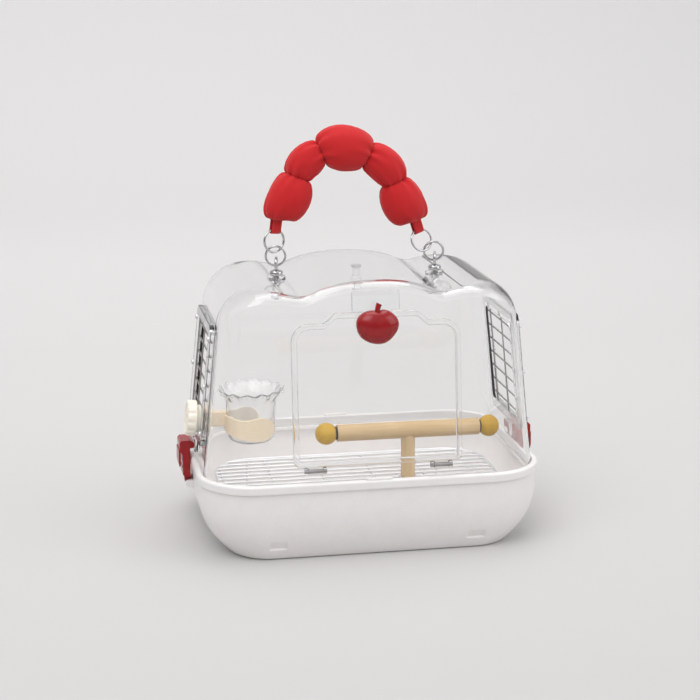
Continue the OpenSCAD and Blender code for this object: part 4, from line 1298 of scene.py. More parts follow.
@dataclass
class Door:
    """Clear front door with its bead, knuckles, fruit knob and the catch above it."""

    cover: Cover
    width: float = 150.0
    low: float = 13.0
    high: float = 137.5
    hump: float = 8.5
    hump_flat: float = 34.0
    hump_slope: float = 14.0
    corner: float = 16.0
    sheet: float = 2.2
    bead: float = 5.5
    proud: float = 1.9
    lap: float = 4.0
    hinge_x: float = 56.0
    hinge_length: float = 19.0
    hinge_lug: float = 2.6
    pin: float = 2.5
    gap: float = 0.35
    fruit_width: float = 37.5
    fruit_height: float = 31.0
    fruit_depth: float = 15.0
    catch_width: float = 42.0
    catch_height: float = 17.0

    def __post_init__(self) -> None:
        """Derives the hinge's and the knob's places."""
        lean = math.radians(self.cover.front_lean)
        self.up = 1 / math.cos(lean)
        self.foot = self.low * self.up
        self.top = self.high * self.up
        self.hinge_r = self.pin / 2 + 1.5
        self.hinge_s = self.foot - self.hinge_r - 0.4
        out = self.hinge_r + self.gap
        self.hinge_y = -self.cover.depth + self.hinge_s * math.sin(lean) - out * math.cos(lean)
        self.hinge_z = self.cover.rim + self.hinge_s * math.cos(lean) + out * math.sin(lean)
        self.fruit_s = self.top - 4

    def outline(self, inset: float, depth: float) -> Ring:
        """The door's outline drawn in by inset, at a depth outward of the front plane.

        Args:
            inset: Distance inside the edge.
            depth: Distance outward.

        Returns:
            The ring.
        """
        w = self.width / 2 - inset
        low, high = self.foot + inset, self.top - inset
        r, q = max(1.0, self.corner - inset), max(1.0, 6 - inset)
        half = [(w - q + q * math.cos(math.radians(a)), low + q + q * math.sin(math.radians(a)))
                for a in range(-90, 1, 10)]
        half += [(w - r + r * math.cos(math.radians(a)), high - r + r * math.sin(math.radians(a)))
                 for a in range(0, 91, 6)]
        half += [(self.hump_flat + self.hump_slope * (1 - k / 16),
                  high + self.hump * self.up * smoothstep(k / 16)) for k in range(17)]
        ring = half + [(-x, s) for x, s in reversed(half)]
        return [(x, -depth, s) for x, s in ring]

    def opening(self) -> Shape:
        """What the door opening takes out of the cover."""
        return turned(loft([self.outline(self.lap, -12), self.outline(self.lap, 12)]),
                      self.cover.front_plane())

    def lugs(self) -> list[Shape]:
        """The cover's hinge lugs.

        Returns:
            Four shapes.
        """
        t, r = self.hinge_lug, self.hinge_r
        reach = r + self.gap + 1.2
        ring = [(r * math.cos(a), r * math.sin(a)) for a in
                (math.radians(90 + 180 * k / 12) for k in range(13))]
        ring += [(reach, -r + 0.15), (reach, r - 0.15)]
        out = []
        for s in (-1, 1):
            for e in (-1, 1):
                x = s * self.hinge_x + e * (self.hinge_length - t) / 2
                rings = [[(x + d, self.hinge_y + a, self.hinge_z + b) for a, b in ring]
                         for d in (-t / 2, t / 2)]
                out.append(loft(rings))
        return out

    def build(self) -> None:
        """Makes the door, the catch and the fruit knob."""
        plane = self.cover.front_plane()
        g, r = self.gap, self.hinge_r
        rings = [self.outline(0.6, g), self.outline(0.15, g + 0.2), self.outline(0, g + 0.6)]
        for k in range(7):
            a = math.pi * k / 6
            inset = self.bead / 2 * (1 - math.cos(a)) * 0.92 + 0.1
            rings.append(self.outline(inset, g + self.sheet - 0.3
                                      + (self.proud + 0.3) * math.sin(a) ** 0.6))
        rings.append(self.outline(self.bead + 0.4, g + self.sheet))
        door = raw_object("door_clear", turned(loft(rings), plane))
        arm = self.hinge_length - 2 * (self.hinge_lug + self.gap)
        adds = []
        for s in (-1, 1):
            knuckle = lathe([(r - 0.4, -arm / 2), (r, -arm / 2 + 0.4), (r, arm / 2 - 0.4),
                             (r - 0.4, arm / 2)], 28)
            adds.append(turned(knuckle, move(s * self.hinge_x, self.hinge_y, self.hinge_z)
                               @ rot("Y", 90)))
            link = rounded_box((arm - 1.4, self.sheet, self.foot - self.hinge_s + 3), 0.5)
            adds.append(turned(link, plane @ move(s * self.hinge_x, -g - self.sheet / 2 - 0.25,
                                                  (self.hinge_s + self.foot) / 2 + 1)))
        combine(door, adds, "UNION")
        piece("door_clear", door, CLEAR_DOOR, "door_body", stands_for=["door"], edge=0.3, angle=50)
        self._catch(plane)
        self._fruit(plane)

    def _catch(self, plane: Matrix) -> None:
        """The clear catch with its bevelled top.

        Args:
            plane: Plane of the front wall.
        """
        h, t = self.catch_height, self.sheet + 1
        s = (self.high + self.hump) * self.up + 0.9
        outline = [(0, 0.0), (-t, 0.0), (-t, h - 3.5), (-t + 1.8, h), (0, h)]
        rings = [[(x, y, s + z) for y, z in outline]
                 for x in (-self.catch_width / 2, self.catch_width / 2)]
        piece("catch_clear", turned(loft([list(reversed(r)) for r in rings]), plane), CLEAR_FRAME,
              "cover", stands_for=["door_catch"], edge=0.5, angle=20)

    def fruit_ring(self, k: float, d: float, lift: float = 0.0) -> Ring:
        """Ring of the fruit at depth d, at share k of its full size.

        Args:
            k: Share of the full size.
            d: Depth outward.
            lift: Rise of the ring.

        Returns:
            The ring.
        """
        out = []
        for j in range(96):
            a = 2 * math.pi * j / 96
            x = self.fruit_width / 2 * k * math.cos(a) * (1 + 0.07 * math.sin(a))
            dip = 1.4 * k * math.exp(-((x / 6) ** 2)) if math.sin(a) > 0 else 0.0
            z = self.fruit_height / 2 * k * (math.sin(a) + 0.05 * math.cos(a) ** 4) - dip
            lobes = 1 + 0.012 * math.cos(5 * a) * k
            out.append((x * lobes, -d, z * lobes + lift))
        return out

    def _fruit(self, plane: Matrix) -> None:
        """The red fruit, its neck and its curled stem.

        Args:
            plane: Plane of the front wall.
        """
        back = self.gap + self.sheet + self.proud + self.gap
        deep = self.fruit_depth - 2.2
        rings = [self.fruit_ring(0.84, back), self.fruit_ring(0.92, back + 0.35),
                 self.fruit_ring(0.965, back + 1.0)]
        for k in range(1, 22):
            u = k / 21
            rings.append(self.fruit_ring(0.03 + 0.97 * max(0.0, 1 - u ** 2.6) ** 0.5,
                                         back + 0.06 * deep + 0.94 * u * deep,
                                         0.5 * u * u))
        body = loft(rings)
        h = self.fruit_height / 2
        path = smooth_path([Vector(p) for p in (
            (-0.6, -back - 4.6, h - 4.5), (-0.3, -back - 4.6, h - 1.5), (0.2, -back - 4.4, h + 1.0),
            (1.0, -back - 4.2, h + 3.2), (1.6, -back - 4.2, h + 4.4))], 24)
        stem = sweep(path, lambda u: oval(5.4 + 3.4 * u * u, 4.0 + 1.2 * u, 16),
                     lambda u: Vector((0, 1, 0)))
        neck = turned(lathe([(5, 0), (5, back - 2 * self.gap - self.sheet + 1.2)], 32),
                      move(0, -2 * self.gap - self.sheet, 0) @ rot("X", 90))
        at = plane @ move(0, 0, self.fruit_s)
        piece("fruit_knob_body", turned(joined(body, stem, neck), at), FRUIT, "fruit",
              stands_for=["fruit_knob"])


def smooth_path(points: Sequence[Vector], count: int) -> list[Vector]:
    """Evenly shared points on a smooth curve through the given ones.

    Args:
        points: Points to pass through.
        count: How many points to give.

    Returns:
        The points.
    """
    out = []
    last = len(points) - 1
    for k in range(count):
        t = last * k / (count - 1)
        i = min(int(t), last - 1)
        f = t - i
        p0 = points[i - 1] if i else points[0] * 2 - points[1]
        p1, p2 = points[i], points[i + 1]
        p3 = points[i + 2] if i + 2 <= last else points[last] * 2 - points[last - 1]
        out.append(0.5 * ((2 * p1) + (p2 - p0) * f + (2 * p0 - 5 * p1 + 4 * p2 - p3) * f * f
                          + (3 * p1 - p0 - 3 * p2 + p3) * f ** 3))
    return out


@dataclass
class EndWindows:
    """The retaining frames round the end windows and their screws."""

    cover: Cover
    band: float = 8.0
    thick: float = 4.2
    screw: float = 5.0

    def build(self) -> None:
        """Makes both frames and both sets of screws."""
        c = self.cover
        w, h = c.window_width, c.win_high - c.win_low
        for name, flip in (("right", Matrix()), ("left", MIRROR)):
            plane = flip @ c.end_plane()
            frame = raw_object(f"{name}_frame", turned(
                c.slab(w + 2 * self.band, h + 2 * self.band, 7, 0.05, self.thick,
                       c.win_low - self.band, 0.5), plane))
            combine(frame, [turned(c.slab(w, h, 5, -1, self.thick + 1, c.win_low), plane),
                            turned(c.slab(w + 5, h + 5, 5, -1, c.rebate, c.win_low - 2.5),
                                   plane)], "DIFFERENCE")
            piece(f"{name}_frame", frame, CLEAR_FRAME, "cover",
                  stands_for=[f"{name}_window_frame"], edge=0.45, angle=40)
            self._screws(name, plane)

    def _screws(self, name: str, plane: Matrix) -> None:
        """Six screw heads in a frame, made by Geometry Nodes.

        Args:
            name: Side of the carrier.
            plane: Plane of its end wall.
        """
        c = self.cover
        y = c.window_width / 2 + self.band / 2 + 0.6
        spots = [(self.thick + 0.05, e * y, s) for e in (-1, 1)
                 for s in (c.win_low + 4, (c.win_low + c.win_high) / 2, c.win_high - 4)]
        out = (plane.to_3x3() @ Vector((1, 0, 0))).normalized()
        screws = repeat_on_points(f"{name}_screws", placed(spots, plane), out,
                                  screw_tree(), {"Radius": self.screw / 2 * MM,
                                                 "Height": 1.6 * MM}, STEEL)
        piece(f"{name}_screws", screws, STEEL, "cover",
              stands_for=["window_screws"] if name == "right" else [])


def repeat_on_points(name: str, spots: Sequence[Point], way: Vector, tree: bpy.types.NodeTree,
                     values: dict[str, float], finish: Finish | ClearFinish) -> bpy.types.Object:
    """Runs a Geometry Nodes tree on points and keeps the plain mesh.

    Args:
        name: Object name.
        spots: Points in millimetres.
        way: Direction that the repeated shape faces.
        tree: The node tree.
        values: The tree's sizes by input name.
        finish: Material of the result.

    Returns:
        The object.
    """
    obj = raw_object(name, (list(spots), []))
    mod = obj.modifiers.new("repeat", "NODES")
    mod.node_group = tree
    turn = way.to_track_quat("Z", "Y").to_euler()
    for item in tree.interface.items_tree:
        if item.item_type == "SOCKET" and item.in_out == "INPUT":
            if item.name in values:
                mod[item.identifier] = values[item.name]
            elif item.name == "Turn":
                mod[item.identifier] = tuple(turn)
            elif item.name == "Finish":
                mod[item.identifier] = finish.build()
    settle(obj)
    return obj


def repeat_tree(name: str, sizes: dict[str, float]
                ) -> tuple[bpy.types.NodeTree, bpy.types.Node, bpy.types.Node]:
    """A tree that sets a shape on points, with the shape still to be linked.

    Args:
        name: Tree name.
        sizes: Named size inputs and their defaults.

    Returns:
        The tree, its input node and the node that takes the shape.
    """
    tree = bpy.data.node_groups.new(name, "GeometryNodeTree")
    tree.interface.new_socket("Geometry", in_out="INPUT", socket_type="NodeSocketGeometry")
    for label, value in sizes.items():
        socket = tree.interface.new_socket(label, in_out="INPUT", socket_type="NodeSocketFloat")
        socket.default_value = value
    tree.interface.new_socket("Turn", in_out="INPUT", socket_type="NodeSocketVector")
    tree.interface.new_socket("Finish", in_out="INPUT", socket_type="NodeSocketMaterial")
    tree.interface.new_socket("Geometry", in_out="OUTPUT", socket_type="NodeSocketGeometry")
    start = tree.nodes.new("NodeGroupInput")
    end = tree.nodes.new("NodeGroupOutput")
    spread = tree.nodes.new("GeometryNodeInstanceOnPoints")
    real = tree.nodes.new("GeometryNodeRealizeInstances")
    smooth = tree.nodes.new("GeometryNodeSetShadeSmooth")
    paint = tree.nodes.new("GeometryNodeSetMaterial")
    tree.links.new(start.outputs["Geometry"], spread.inputs["Points"])
    tree.links.new(start.outputs["Turn"], spread.inputs["Rotation"])
    tree.links.new(spread.outputs["Instances"], real.inputs["Geometry"])
    tree.links.new(real.outputs["Geometry"], smooth.inputs["Geometry"])
    tree.links.new(smooth.outputs["Geometry"], paint.inputs["Geometry"])
    tree.links.new(start.outputs["Finish"], paint.inputs["Material"])
    tree.links.new(paint.outputs["Geometry"], end.inputs["Geometry"])
    return tree, start, spread


def screw_tree() -> bpy.types.NodeTree:
    """Geometry Nodes: a pan-head screw on each point, with sizes as inputs.

    Returns:
        The tree, made once.
    """
    old = bpy.data.node_groups.get("pan_head_screws")
    if old:
        return old
    tree, start, spread = repeat_tree("pan_head_screws", {"Radius": 2.5 * MM, "Height": 1.6 * MM})
    head = add_node(tree, "GeometryNodeMeshCone", Vertices=28, Side_Segments=3)
    taper = tree.nodes.new("ShaderNodeMath")
    taper.operation = "MULTIPLY"
    taper.inputs[1].default_value = 0.72
    tree.links.new(start.outputs["Radius"], taper.inputs[0])
    tree.links.new(taper.outputs[0], head.inputs["Radius Top"])
    tree.links.new(start.outputs["Radius"], head.inputs["Radius Bottom"])
    tree.links.new(start.outputs["Height"], head.inputs["Depth"])
    slot = add_node(tree, "GeometryNodeMeshCube", Size=(3.4 * MM, 0.6 * MM, 1.0 * MM))
    lift = tree.nodes.new("GeometryNodeTransform")
    rise = tree.nodes.new("ShaderNodeCombineXYZ")
    tree.links.new(start.outputs["Height"], rise.inputs["Z"])
    tree.links.new(rise.outputs["Vector"], lift.inputs["Translation"])
    tree.links.new(slot.outputs["Mesh"], lift.inputs["Geometry"])
    cut = tree.nodes.new("GeometryNodeMeshBoolean")
    cut.operation = "DIFFERENCE"
    tree.links.new(head.outputs["Mesh"], cut.inputs["Mesh 1"])
    tree.links.new(lift.outputs["Geometry"], cut.inputs["Mesh 2"])
    tree.links.new(cut.outputs["Mesh"], spread.inputs["Instance"])
    return tree


def pearl_tree() -> bpy.types.NodeTree:
    """Geometry Nodes: a small flattened bead on each point.

    Returns:
        The tree, made once.
    """
    old = bpy.data.node_groups.get("rim_pearls")
    if old:
        return old
    tree, start, spread = repeat_tree("rim_pearls", {"Radius": 1.5 * MM})
    ball = add_node(tree, "GeometryNodeMeshUVSphere", Segments=16, Rings=10)
    tree.links.new(start.outputs["Radius"], ball.inputs["Radius"])
    tree.links.new(ball.outputs["Mesh"], spread.inputs["Instance"])
    return tree


@dataclass
class FeedingCup:
    """Clear cup with a scalloped rim, its cream bracket and the knob outside the window."""

    cover: Cover
    x: float = 102.4
    y: float = 30.0
    rim_d: float = 59.0
    foot_d: float = 42.6
    height: float = 48.0
    wall: float = 1.8
    waves: int = 14
    band_height: float = 20.0
    band_thick: float = 2.6
    knob_d: float = 32.0
    knob_length: float = 8.5
    pitch: float = 13.3
    gap: float = 0.35

    def __post_init__(self) -> None:
        """Derives the bolt's and the cup's heights."""
        c = self.cover
        self.bolt_s = c.win_low + 7 + self.pitch / 2
        self.bolt_z = c.rim + self.bolt_s * math.cos(math.radians(c.end_lean))
        self.z = self.bolt_z - 22

    def radius(self, z: float) -> float:
        """Outer radius at a height.

        Args:
            z: The height.

        Returns:
            The radius.
        """
        u = max(0.0, min(1.0, (z - self.z) / self.height))
        flare = (self.rim_d - self.foot_d) / 2 - 2
        return self.foot_d / 2 + 2 * u + flare * max(0.0, (u - 0.78) / 0.22) ** 1.3

    def ring(self, u: float, inner: bool, grow: float = 0.0) -> Ring:
        """Ring of the cup at share u of its height.

        Args:
            u: Share of the height.
            inner: Whether it is on the inner face.
            grow: Added radius.

        Returns:
            The ring.
        """
        out = []
        flare = max(0.0, (u - 0.8) * 5)
        for j in range(240):
            a = 2 * math.pi * j / 240
            wave = math.cos(self.waves * a)
            r = self.radius(self.z + u * self.height) - (self.wall if inner else 0.0) + grow
            r -= 5 * max(0.0, 1 - u / 0.12) ** 2
            r += 0.0 if inner else flare * (0.6 + 1.1 * wave)
            out.append((r * math.cos(a) - self.x, r * math.sin(a) - self.y,
                        self.z + u * self.height + flare * 0.9 * wave))
        return out

    def band_ring(self, v: float) -> Ring:
        """Section of the band; v is 1 at the front arm's end and -1 at the back arm's.

        Args:
            v: Place along the band.

        Returns:
            Four corners.
        """
        u = abs(v)
        a = math.radians(180 + (140 if v > 0 else 117) * v)
        high = self.bolt_z + 2.8 + math.cos(2 * math.pi * (u - 0.18) / 0.57)
        low = self.bolt_z + 12 - self.band_height - 3.5 * smoothstep(min(1.0, u / 0.15)) \
            - 6 * smoothstep(min(1.0, u / 0.75))
        mid, h = (low + high) / 2, (high - low) / 2
        h *= math.sqrt(max(0.12, 1 - (max(0.0, u - 0.74) / 0.28) ** 2))
        low, high = mid - h, mid + h
        r0, r1 = self.radius(low) + self.gap, self.radius(high) + self.gap
        c, s, t = math.cos(a), math.sin(a), self.band_thick
        return [(r * c - self.x, r * s - self.y, z) for r, z in
                ((r0, low), (r0 + t, low), (r1 + t, high), (r1, high))]

    def axis(self) -> Matrix:
        """Axis of the bolt, outward through the left end."""
        return MIRROR @ self.cover.end_plane() @ move(0, -self.y, self.bolt_s) @ rot("Y", 90)

    def build(self) -> None:
        """Makes the cup, the bracket and the knob."""
        steps = [0.03, 0.08, 0.16, 0.26, 0.36, 0.46, 0.56, 0.66, 0.76, 0.79, 0.82, 0.85, 0.88,
                 0.91, 0.94, 0.96, 0.985]
        rings = [self.ring(0, False, -2.2), self.ring(0.004, False, -0.8),
                 self.ring(0.016, False, -0.2)]
        rings += [self.ring(u, False) for u in steps]
        rings += [self.ring(1.0, False, -0.35), self.ring(1.006, False, -1.0),
                  self.ring(1.004, True, 0.5)]
        rings += [self.ring(u, True) for u in reversed(steps[1:])]
        rings += [self.ring(0.05, True, -1.4), self.ring(0.044, True, -4.0)]
        piece("cup_clear", loft(rings), CLEAR_CUP, "cup", stands_for=["food_cup"])
        pearls = []
        for j in range(self.waves * 2):
            a = 2 * math.pi * j / (self.waves * 2)
            wave = math.cos(self.waves * a)
            r = self.radius(self.z + self.height) - 0.4 + 1.1 * wave
            pearls.append((r * math.cos(a) - self.x, r * math.sin(a) - self.y,
                           self.z + self.height - 1.6 + 0.9 * wave))
        beads = repeat_on_points("rim_pearls", pearls, Vector((0, 0, 1)), pearl_tree(),
                                 {"Radius": 1.5 * MM}, CLEAR_CUP)
        piece("rim_pearls", beads, CLEAR_CUP, "cup")
        self._bracket()
        self._knob()

    def _bracket(self) -> None:
        """The wavy band, its arm and the plate inside the window."""
        c = self.cover
        rings = [self.band_ring(k / 80) for k in range(80, -81, -1)]
        band = raw_object("bracket_cream", loft(rings))
        x_plate = c.length - c.slope_end * (self.bolt_z - c.rim)
        reach = self.x + self.radius(self.bolt_z) + self.gap + self.band_thick / 2
        long = x_plate - 3 - reach
        arm = turned(rounded_box((long + 0.6, 10, 13), 1.0),
                     move(-x_plate + 3 + long / 2, -self.y, self.bolt_z))
        p = 10.5
        plate = turned(c.slab(2 * p, 2 * p, 3, -3.6, -0.35, self.bolt_s - p, 0.4),
                       MIRROR @ c.end_plane() @ move(0, -self.y, 0))
        combine(band, [arm, plate], "UNION")
        piece("bracket_cream", band, BRACKET, "cover", stands_for=["cup_bracket"], edge=0.6,
              angle=40)

    def _knob(self) -> None:
        """The knob with its flange and finger grips."""
        z0 = self.cover.rebate + self.gap
        r, n = self.knob_d / 2, 144

        def grip(radius: float, z: float, depth: float) -> Ring:
            """A ring with twelve grips pressed in.

            Args:
                radius: Radius between grips.
                z: Height along the axis.
                depth: Depth of a grip.

            Returns:
                The ring.
            """
            out = []
            for k in range(n):
                a = 2 * math.pi * k / n
                near = abs(((math.degrees(a) + 15) % 30) - 15) / 57.3 * r
                cut = depth * max(0.0, 1 - (near / 2.3) ** 2)
                out.append(((radius - cut) * math.cos(a), (radius - cut) * math.sin(a), z))
            return out

        flange = (self.knob_d - 8) / 2
        top = z0 + 4 + self.knob_length
        rings = [grip(flange - 0.5, z0, 0), grip(flange, z0 + 0.5, 0), grip(flange, z0 + 3.9, 0),
                 grip(r - 0.8, z0 + 4.0, 0), grip(r - 0.2, z0 + 4.3, 0), grip(r, z0 + 4.9, 0),
                 grip(r, z0 + 5.4, 0.3), grip(r, z0 + 6.0, 1.0), grip(r, top - 1.6, 1.0),
                 grip(r - 0.4, top - 0.7, 1.0), grip(r - 1.3, top - 0.1, 0.9),
                 grip(r - 2.2, top, 0.6), grip(r - 3.4, top - 0.15, 0.0),
                 grip(r - 4.2, top - 0.8, 0), grip(4.6, top - 1.0, 0), grip(3.9, top - 0.6, 0),
                 grip(3.2, top - 0.5, 0), grip(3.1, top - 1.4, 0), grip(0.4, top - 1.7, 0)]
        piece("knob_cream", turned(loft(rings), self.axis()), CREAM, "bracket_knob",
              stands_for=["cup_knob"])


@dataclass
class SideLatch:
    """A red side latch with its hook, waist line and hanging finger lip."""

    tub: Tub
    cover: Cover
    side: str
    width: float = 22.0
    low: float = 47.0
    height: float = 41.0
    thick: float = 7.0
    lip: float = 14.0
    pin: float = 3.0
    gap: float = 0.35

    def build(self) -> None:
        """Makes the latch."""
        w, g = self.width, self.gap
        arm = self.pin / 2 + 1.6
        pin_x = self.tub.hx(self.low) + self.pin / 2 + 2.4
        top = self.low + self.height
        inner = self.tub.length / 2 + 0.5
        out = inner + self.thick
        lug = self.cover.lug_x
        hook = self.low + self.height - 7.5
        outline = [(inner, self.low + 6.5), (inner, hook),
                   (lug + g, hook + 0.6), (lug + g, top - 2.5), (lug + 3.5, top),
                   (out + 0.8, top), (out + 2.6, top - 2), (out + 2.6, top - 10),
                   (out + 0.8, top - 12), (out, top - 14), (out, self.low + 16.8),
                   (out - 0.7, self.low + 16.2), (out - 0.7, self.low + 15.0),
                   (out, self.low + 14.4), (out, self.low + 8.5)]
        body = raw_object(f"{self.side}_latch_red", self._extruded(outline, w / 2))
        neck = self._extruded([(pin_x - arm + 0.4, self.low), (inner + 0.3, self.low + 9),
                               (out - 1, self.low + 10.5), (pin_x + arm - 0.2, self.low)],
                              w / 4 - 0.2)
        knuckle = turned(lathe([(arm - 0.4, -w / 4), (arm, -w / 4 + 0.4), (arm, w / 4 - 0.4),
                                (arm - 0.4, w / 4)], 32),
                         self._flip() @ move(pin_x, 0, self.low) @ rot("X", 90))
        a, b = out + 1.2, top - 11 - self.lip
        tongue = self._extruded([(a + 0.4, b + 2), (a + 1.6, b), (a + 2.4, b + 4),
                                 (a + 2.2, b + self.lip + 2), (a + 0.4, b + self.lip + 2)],
                                w / 2 - 0.4)
        combine(body, [neck, knuckle, tongue], "UNION")
        piece(f"{self.side}_latch_red", body, RED_PLASTIC, f"{self.side}_latch_body",
              stands_for=[f"{self.side}_latch"], edge=0.55, angle=30)

    def _flip(self) -> Matrix:
        """Mirror for the left side."""
        return Matrix() if self.side == "right" else MIRROR

    def _extruded(self, outline: Outline, half: float) -> Shape:
        """An outline in the upright plane, drawn out to both sides."""
        rings = [[(x, y, z) for x, z in outline] for y in (half, -half)]
        return turned(loft([list(reversed(r)) for r in rings]), self._flip())


@dataclass
class Perch:
    """The yellow balls of the perch; its dowel, post and fastenings are the CAD's."""

    x: float = 44.5
    y: float = -22.0
    z: float = 91.0
    length: float = 133.0
    ball: float = 20.2
    spacer: float = 1.6

    def build(self) -> None:
        """Makes both balls, each with its flat against the spacer."""
        r = self.ball / 2
        cut = r - 1.7
        start = math.acos(-cut / r)
        profile = [(0.2, -cut)]
        for k in range(29):
            a = start * (1 - k / 28)
            profile.append((max(0.05, r * math.sin(a)), r * math.cos(a)))
        for name, way in (("left", -1), ("right", 1)):
            at = move(self.x, self.y, self.z) @ rot("Y", 90 * way) \
                @ move(0, 0, self.length / 2 + 0.1 + self.spacer + cut)
            piece(f"{name}_ball", turned(lathe(profile, 56), at), YELLOW_WOOD, "perch",
                  stands_for=[f"{name}_bead"])


@dataclass
class PlushHandle:
    """Stuffed red handle of five lobes, its straps, rings and eye bolts."""

    cover: Cover
    shank: float = 5.0
    gap: float = 0.35
    small: float = 17.6
    big: float = 20.4
    wire: float = 2.1
    strap_width: float = 9.5
    strap_thick: float = 1.2
    fill: float = 1.0
    pinch: float = 0.66
    flat: float = 0.86
    small_twist: float = -12.0
    big_twist: float = 24.0
    around: int = 72
    swell: float = 2.2
    lobes: list[Point] = field(default_factory=lambda: [
        (-60.8, 59.0, 20.6), (-45.2, 91.0, 16.6), (-12.5, 102.7, 22.0), (25.9, 85.7, 17.2),
        (43.7, 50.8, 20.8)])
    small_at: list[Vector] = field(default_factory=lambda: [
        Vector((-0.6, 6.8)), Vector((-1.1, 6.6))])
    big_at: list[Vector] = field(default_factory=lambda: [
        Vector((-1.7, 20.5)), Vector((-12.5, 17.2))])
    strap_at: list[Vector] = field(default_factory=lambda: [
        Vector((0.8, 39.9)), Vector((-18.3, 35.6))])

    def __post_init__(self) -> None:
        """Derives the eyes' height and the middle line."""
        self.eye_x, self.eye_z = self.cover.eye_x, self.cover.eye_z
        ends = [Vector((self.strap_at[0].x - self.eye_x, self.strap_at[0].y)),
                Vector((self.strap_at[1].x + self.eye_x, self.strap_at[1].y))]
        self.line = [ends[0]] + [Vector((x, z)) for x, z, _ in self.lobes] + [ends[1]]

    def link_dir(self, e: int) -> Vector:
        """Direction from the small ring to the big one, in the handle's plane."""
        return (self.big_at[e] - self.small_at[e]).normalized()

    def hang(self, e: int) -> tuple[Vector, Vector]:
        """Where a strap hangs on its big ring and the wire's direction there.

        Args:
            e: 0 for the left end, 1 for the right.

        Returns:
            The place and the direction, from the eye.
        """
        l = self.link_dir(e)
        n = Vector((l.y, -l.x))
        s = (self.strap_at[e] - self.big_at[e]).normalized()
        tilt = math.radians(self.big_twist)
        a = math.atan2(s.dot(n) / math.cos(tilt), s.dot(l))
        r = self.big / 2
        u = self.big_at[e] + r * (math.cos(a) * l + math.sin(a) * math.cos(tilt) * n)
        v = -math.sin(a) * l + math.cos(a) * math.cos(tilt) * n
        return (Vector((u.x, r * math.sin(a) * math.sin(tilt), u.y)),
                Vector((v.x, math.cos(a) * math.sin(tilt), v.y)))

    def strap_dir(self, e: int) -> Vector:
        """Direction of a strap from its ring to the stuffed part."""
        h, _ = self.hang(e)
        return (self.strap_at[e] - Vector((h.x, h.z))).normalized()

    def slope(self, k: int) -> Vector:
        """Direction of the middle line at its point k.

        Args:
            k: Number of the point.

        Returns:
            The direction.
        """
        if k == 0:
            return self.strap_dir(0)
        if k == len(self.line) - 1:
            return -self.strap_dir(1)
        return (self.line[k + 1] - self.line[k - 1]).normalized()

    def at(self, k: int, t: float) -> Vector:
        """Point of the middle line at share t of its stretch k.

        Args:
            k: Number of the stretch.
            t: Share of it.

        Returns:
            The point.
        """
        a, b = self.line[k], self.line[k + 1]
        c = (b - a).length
        return (a * (1 + t * t * (2 * t - 3)) + b * (t * t * (3 - 2 * t))
                + (self.slope(k) * (1 - t) - self.slope(k + 1) * t) * (c * t * (1 - t)))

    def lobe_r(self, k: int) -> float:
        """Half height of a lobe, or of the strap's end beyond the last one.

        Args:
            k: Number of the lobe.

        Returns:
            The half height.
        """
        if 0 <= k < len(self.lobes):
            return self.lobes[k][2] * self.fill
        return (self.strap_width / 2 + 2.2) / self.pinch

    def radius(self, k: int, t: float) -> float:
        """Half height of the stuffed part.

        Args:
            k: Number of the stretch.
            t: Share of it.

        Returns:
            The half height.
        """
        last = len(self.line) - 1
        a = 0.0 if k == 0 else self.lobe_r(k - 1)
        b = 0.0 if k == last - 1 else self.lobe_r(k)
        m = a / (a + b)
        low = self.pinch * min(self.lobe_r(k - 1), self.lobe_r(k))
        if m >= 1 or t < m:
            return low + (a - low) * math.sqrt(max(0.0, 1 - (t / m) ** 2))
        return low + (b - low) * math.sqrt(max(0.0, 1 - ((1 - t) / (1 - m)) ** 2))

    def _stations(self) -> list[tuple[int, float, float]]:
        """Stretch, share and signed nearness to a gather for each ring.

        Returns:
            Stretch, share and distance from the gather.
        """
        last = len(self.line) - 1
        out = []
        for k in range(last):
            a = 0.0 if k == 0 else self.lobe_r(k - 1)
            b = 0.0 if k == last - 1 else self.lobe_r(k)
            m = a / (a + b)
            length = (self.line[k + 1] - self.line[k]).length
            shares = []
            if a:
                shares += [m * math.sin(math.pi / 2 * j / 15) for j in range(15)]
            shares.append(m)
            if b:
                shares += [1 - (1 - m) * math.sin(math.pi / 2 * j / 15) for j in range(14, 0, -1)]
            for t in shares:
                out.append((k, t, (t - m) * length))
        return out

    def _stuffing(self) -> bpy.types.Object:
        """The stuffed part, blown up by the cloth solver, then gathered and seamed.

        Returns:
            The object.
        """
        stations = self._stations()
        rings = []
        for k, t, _ in stations:
            c = self.at(k, t)
            d = (self.at(k, min(1, t + 0.02)) - self.at(k, max(0, t - 0.02))).normalized()
            r = self.radius(k, t) * 0.955
            ring = []
            for j in range(self.around):
                a = math.pi + 2 * math.pi * (j + 0.5) / self.around
                n = r * math.cos(a)
                ring.append((c.x - d.y * n, -self.flat * r * math.sin(a),
                             self.eye_z + c.y + d.x * n))
            rings.append(ring)
        obj = raw_object("handle_stuffed", loft(rings))
        self._blow(obj, stations)
        self._gather(obj, stations)
        return obj

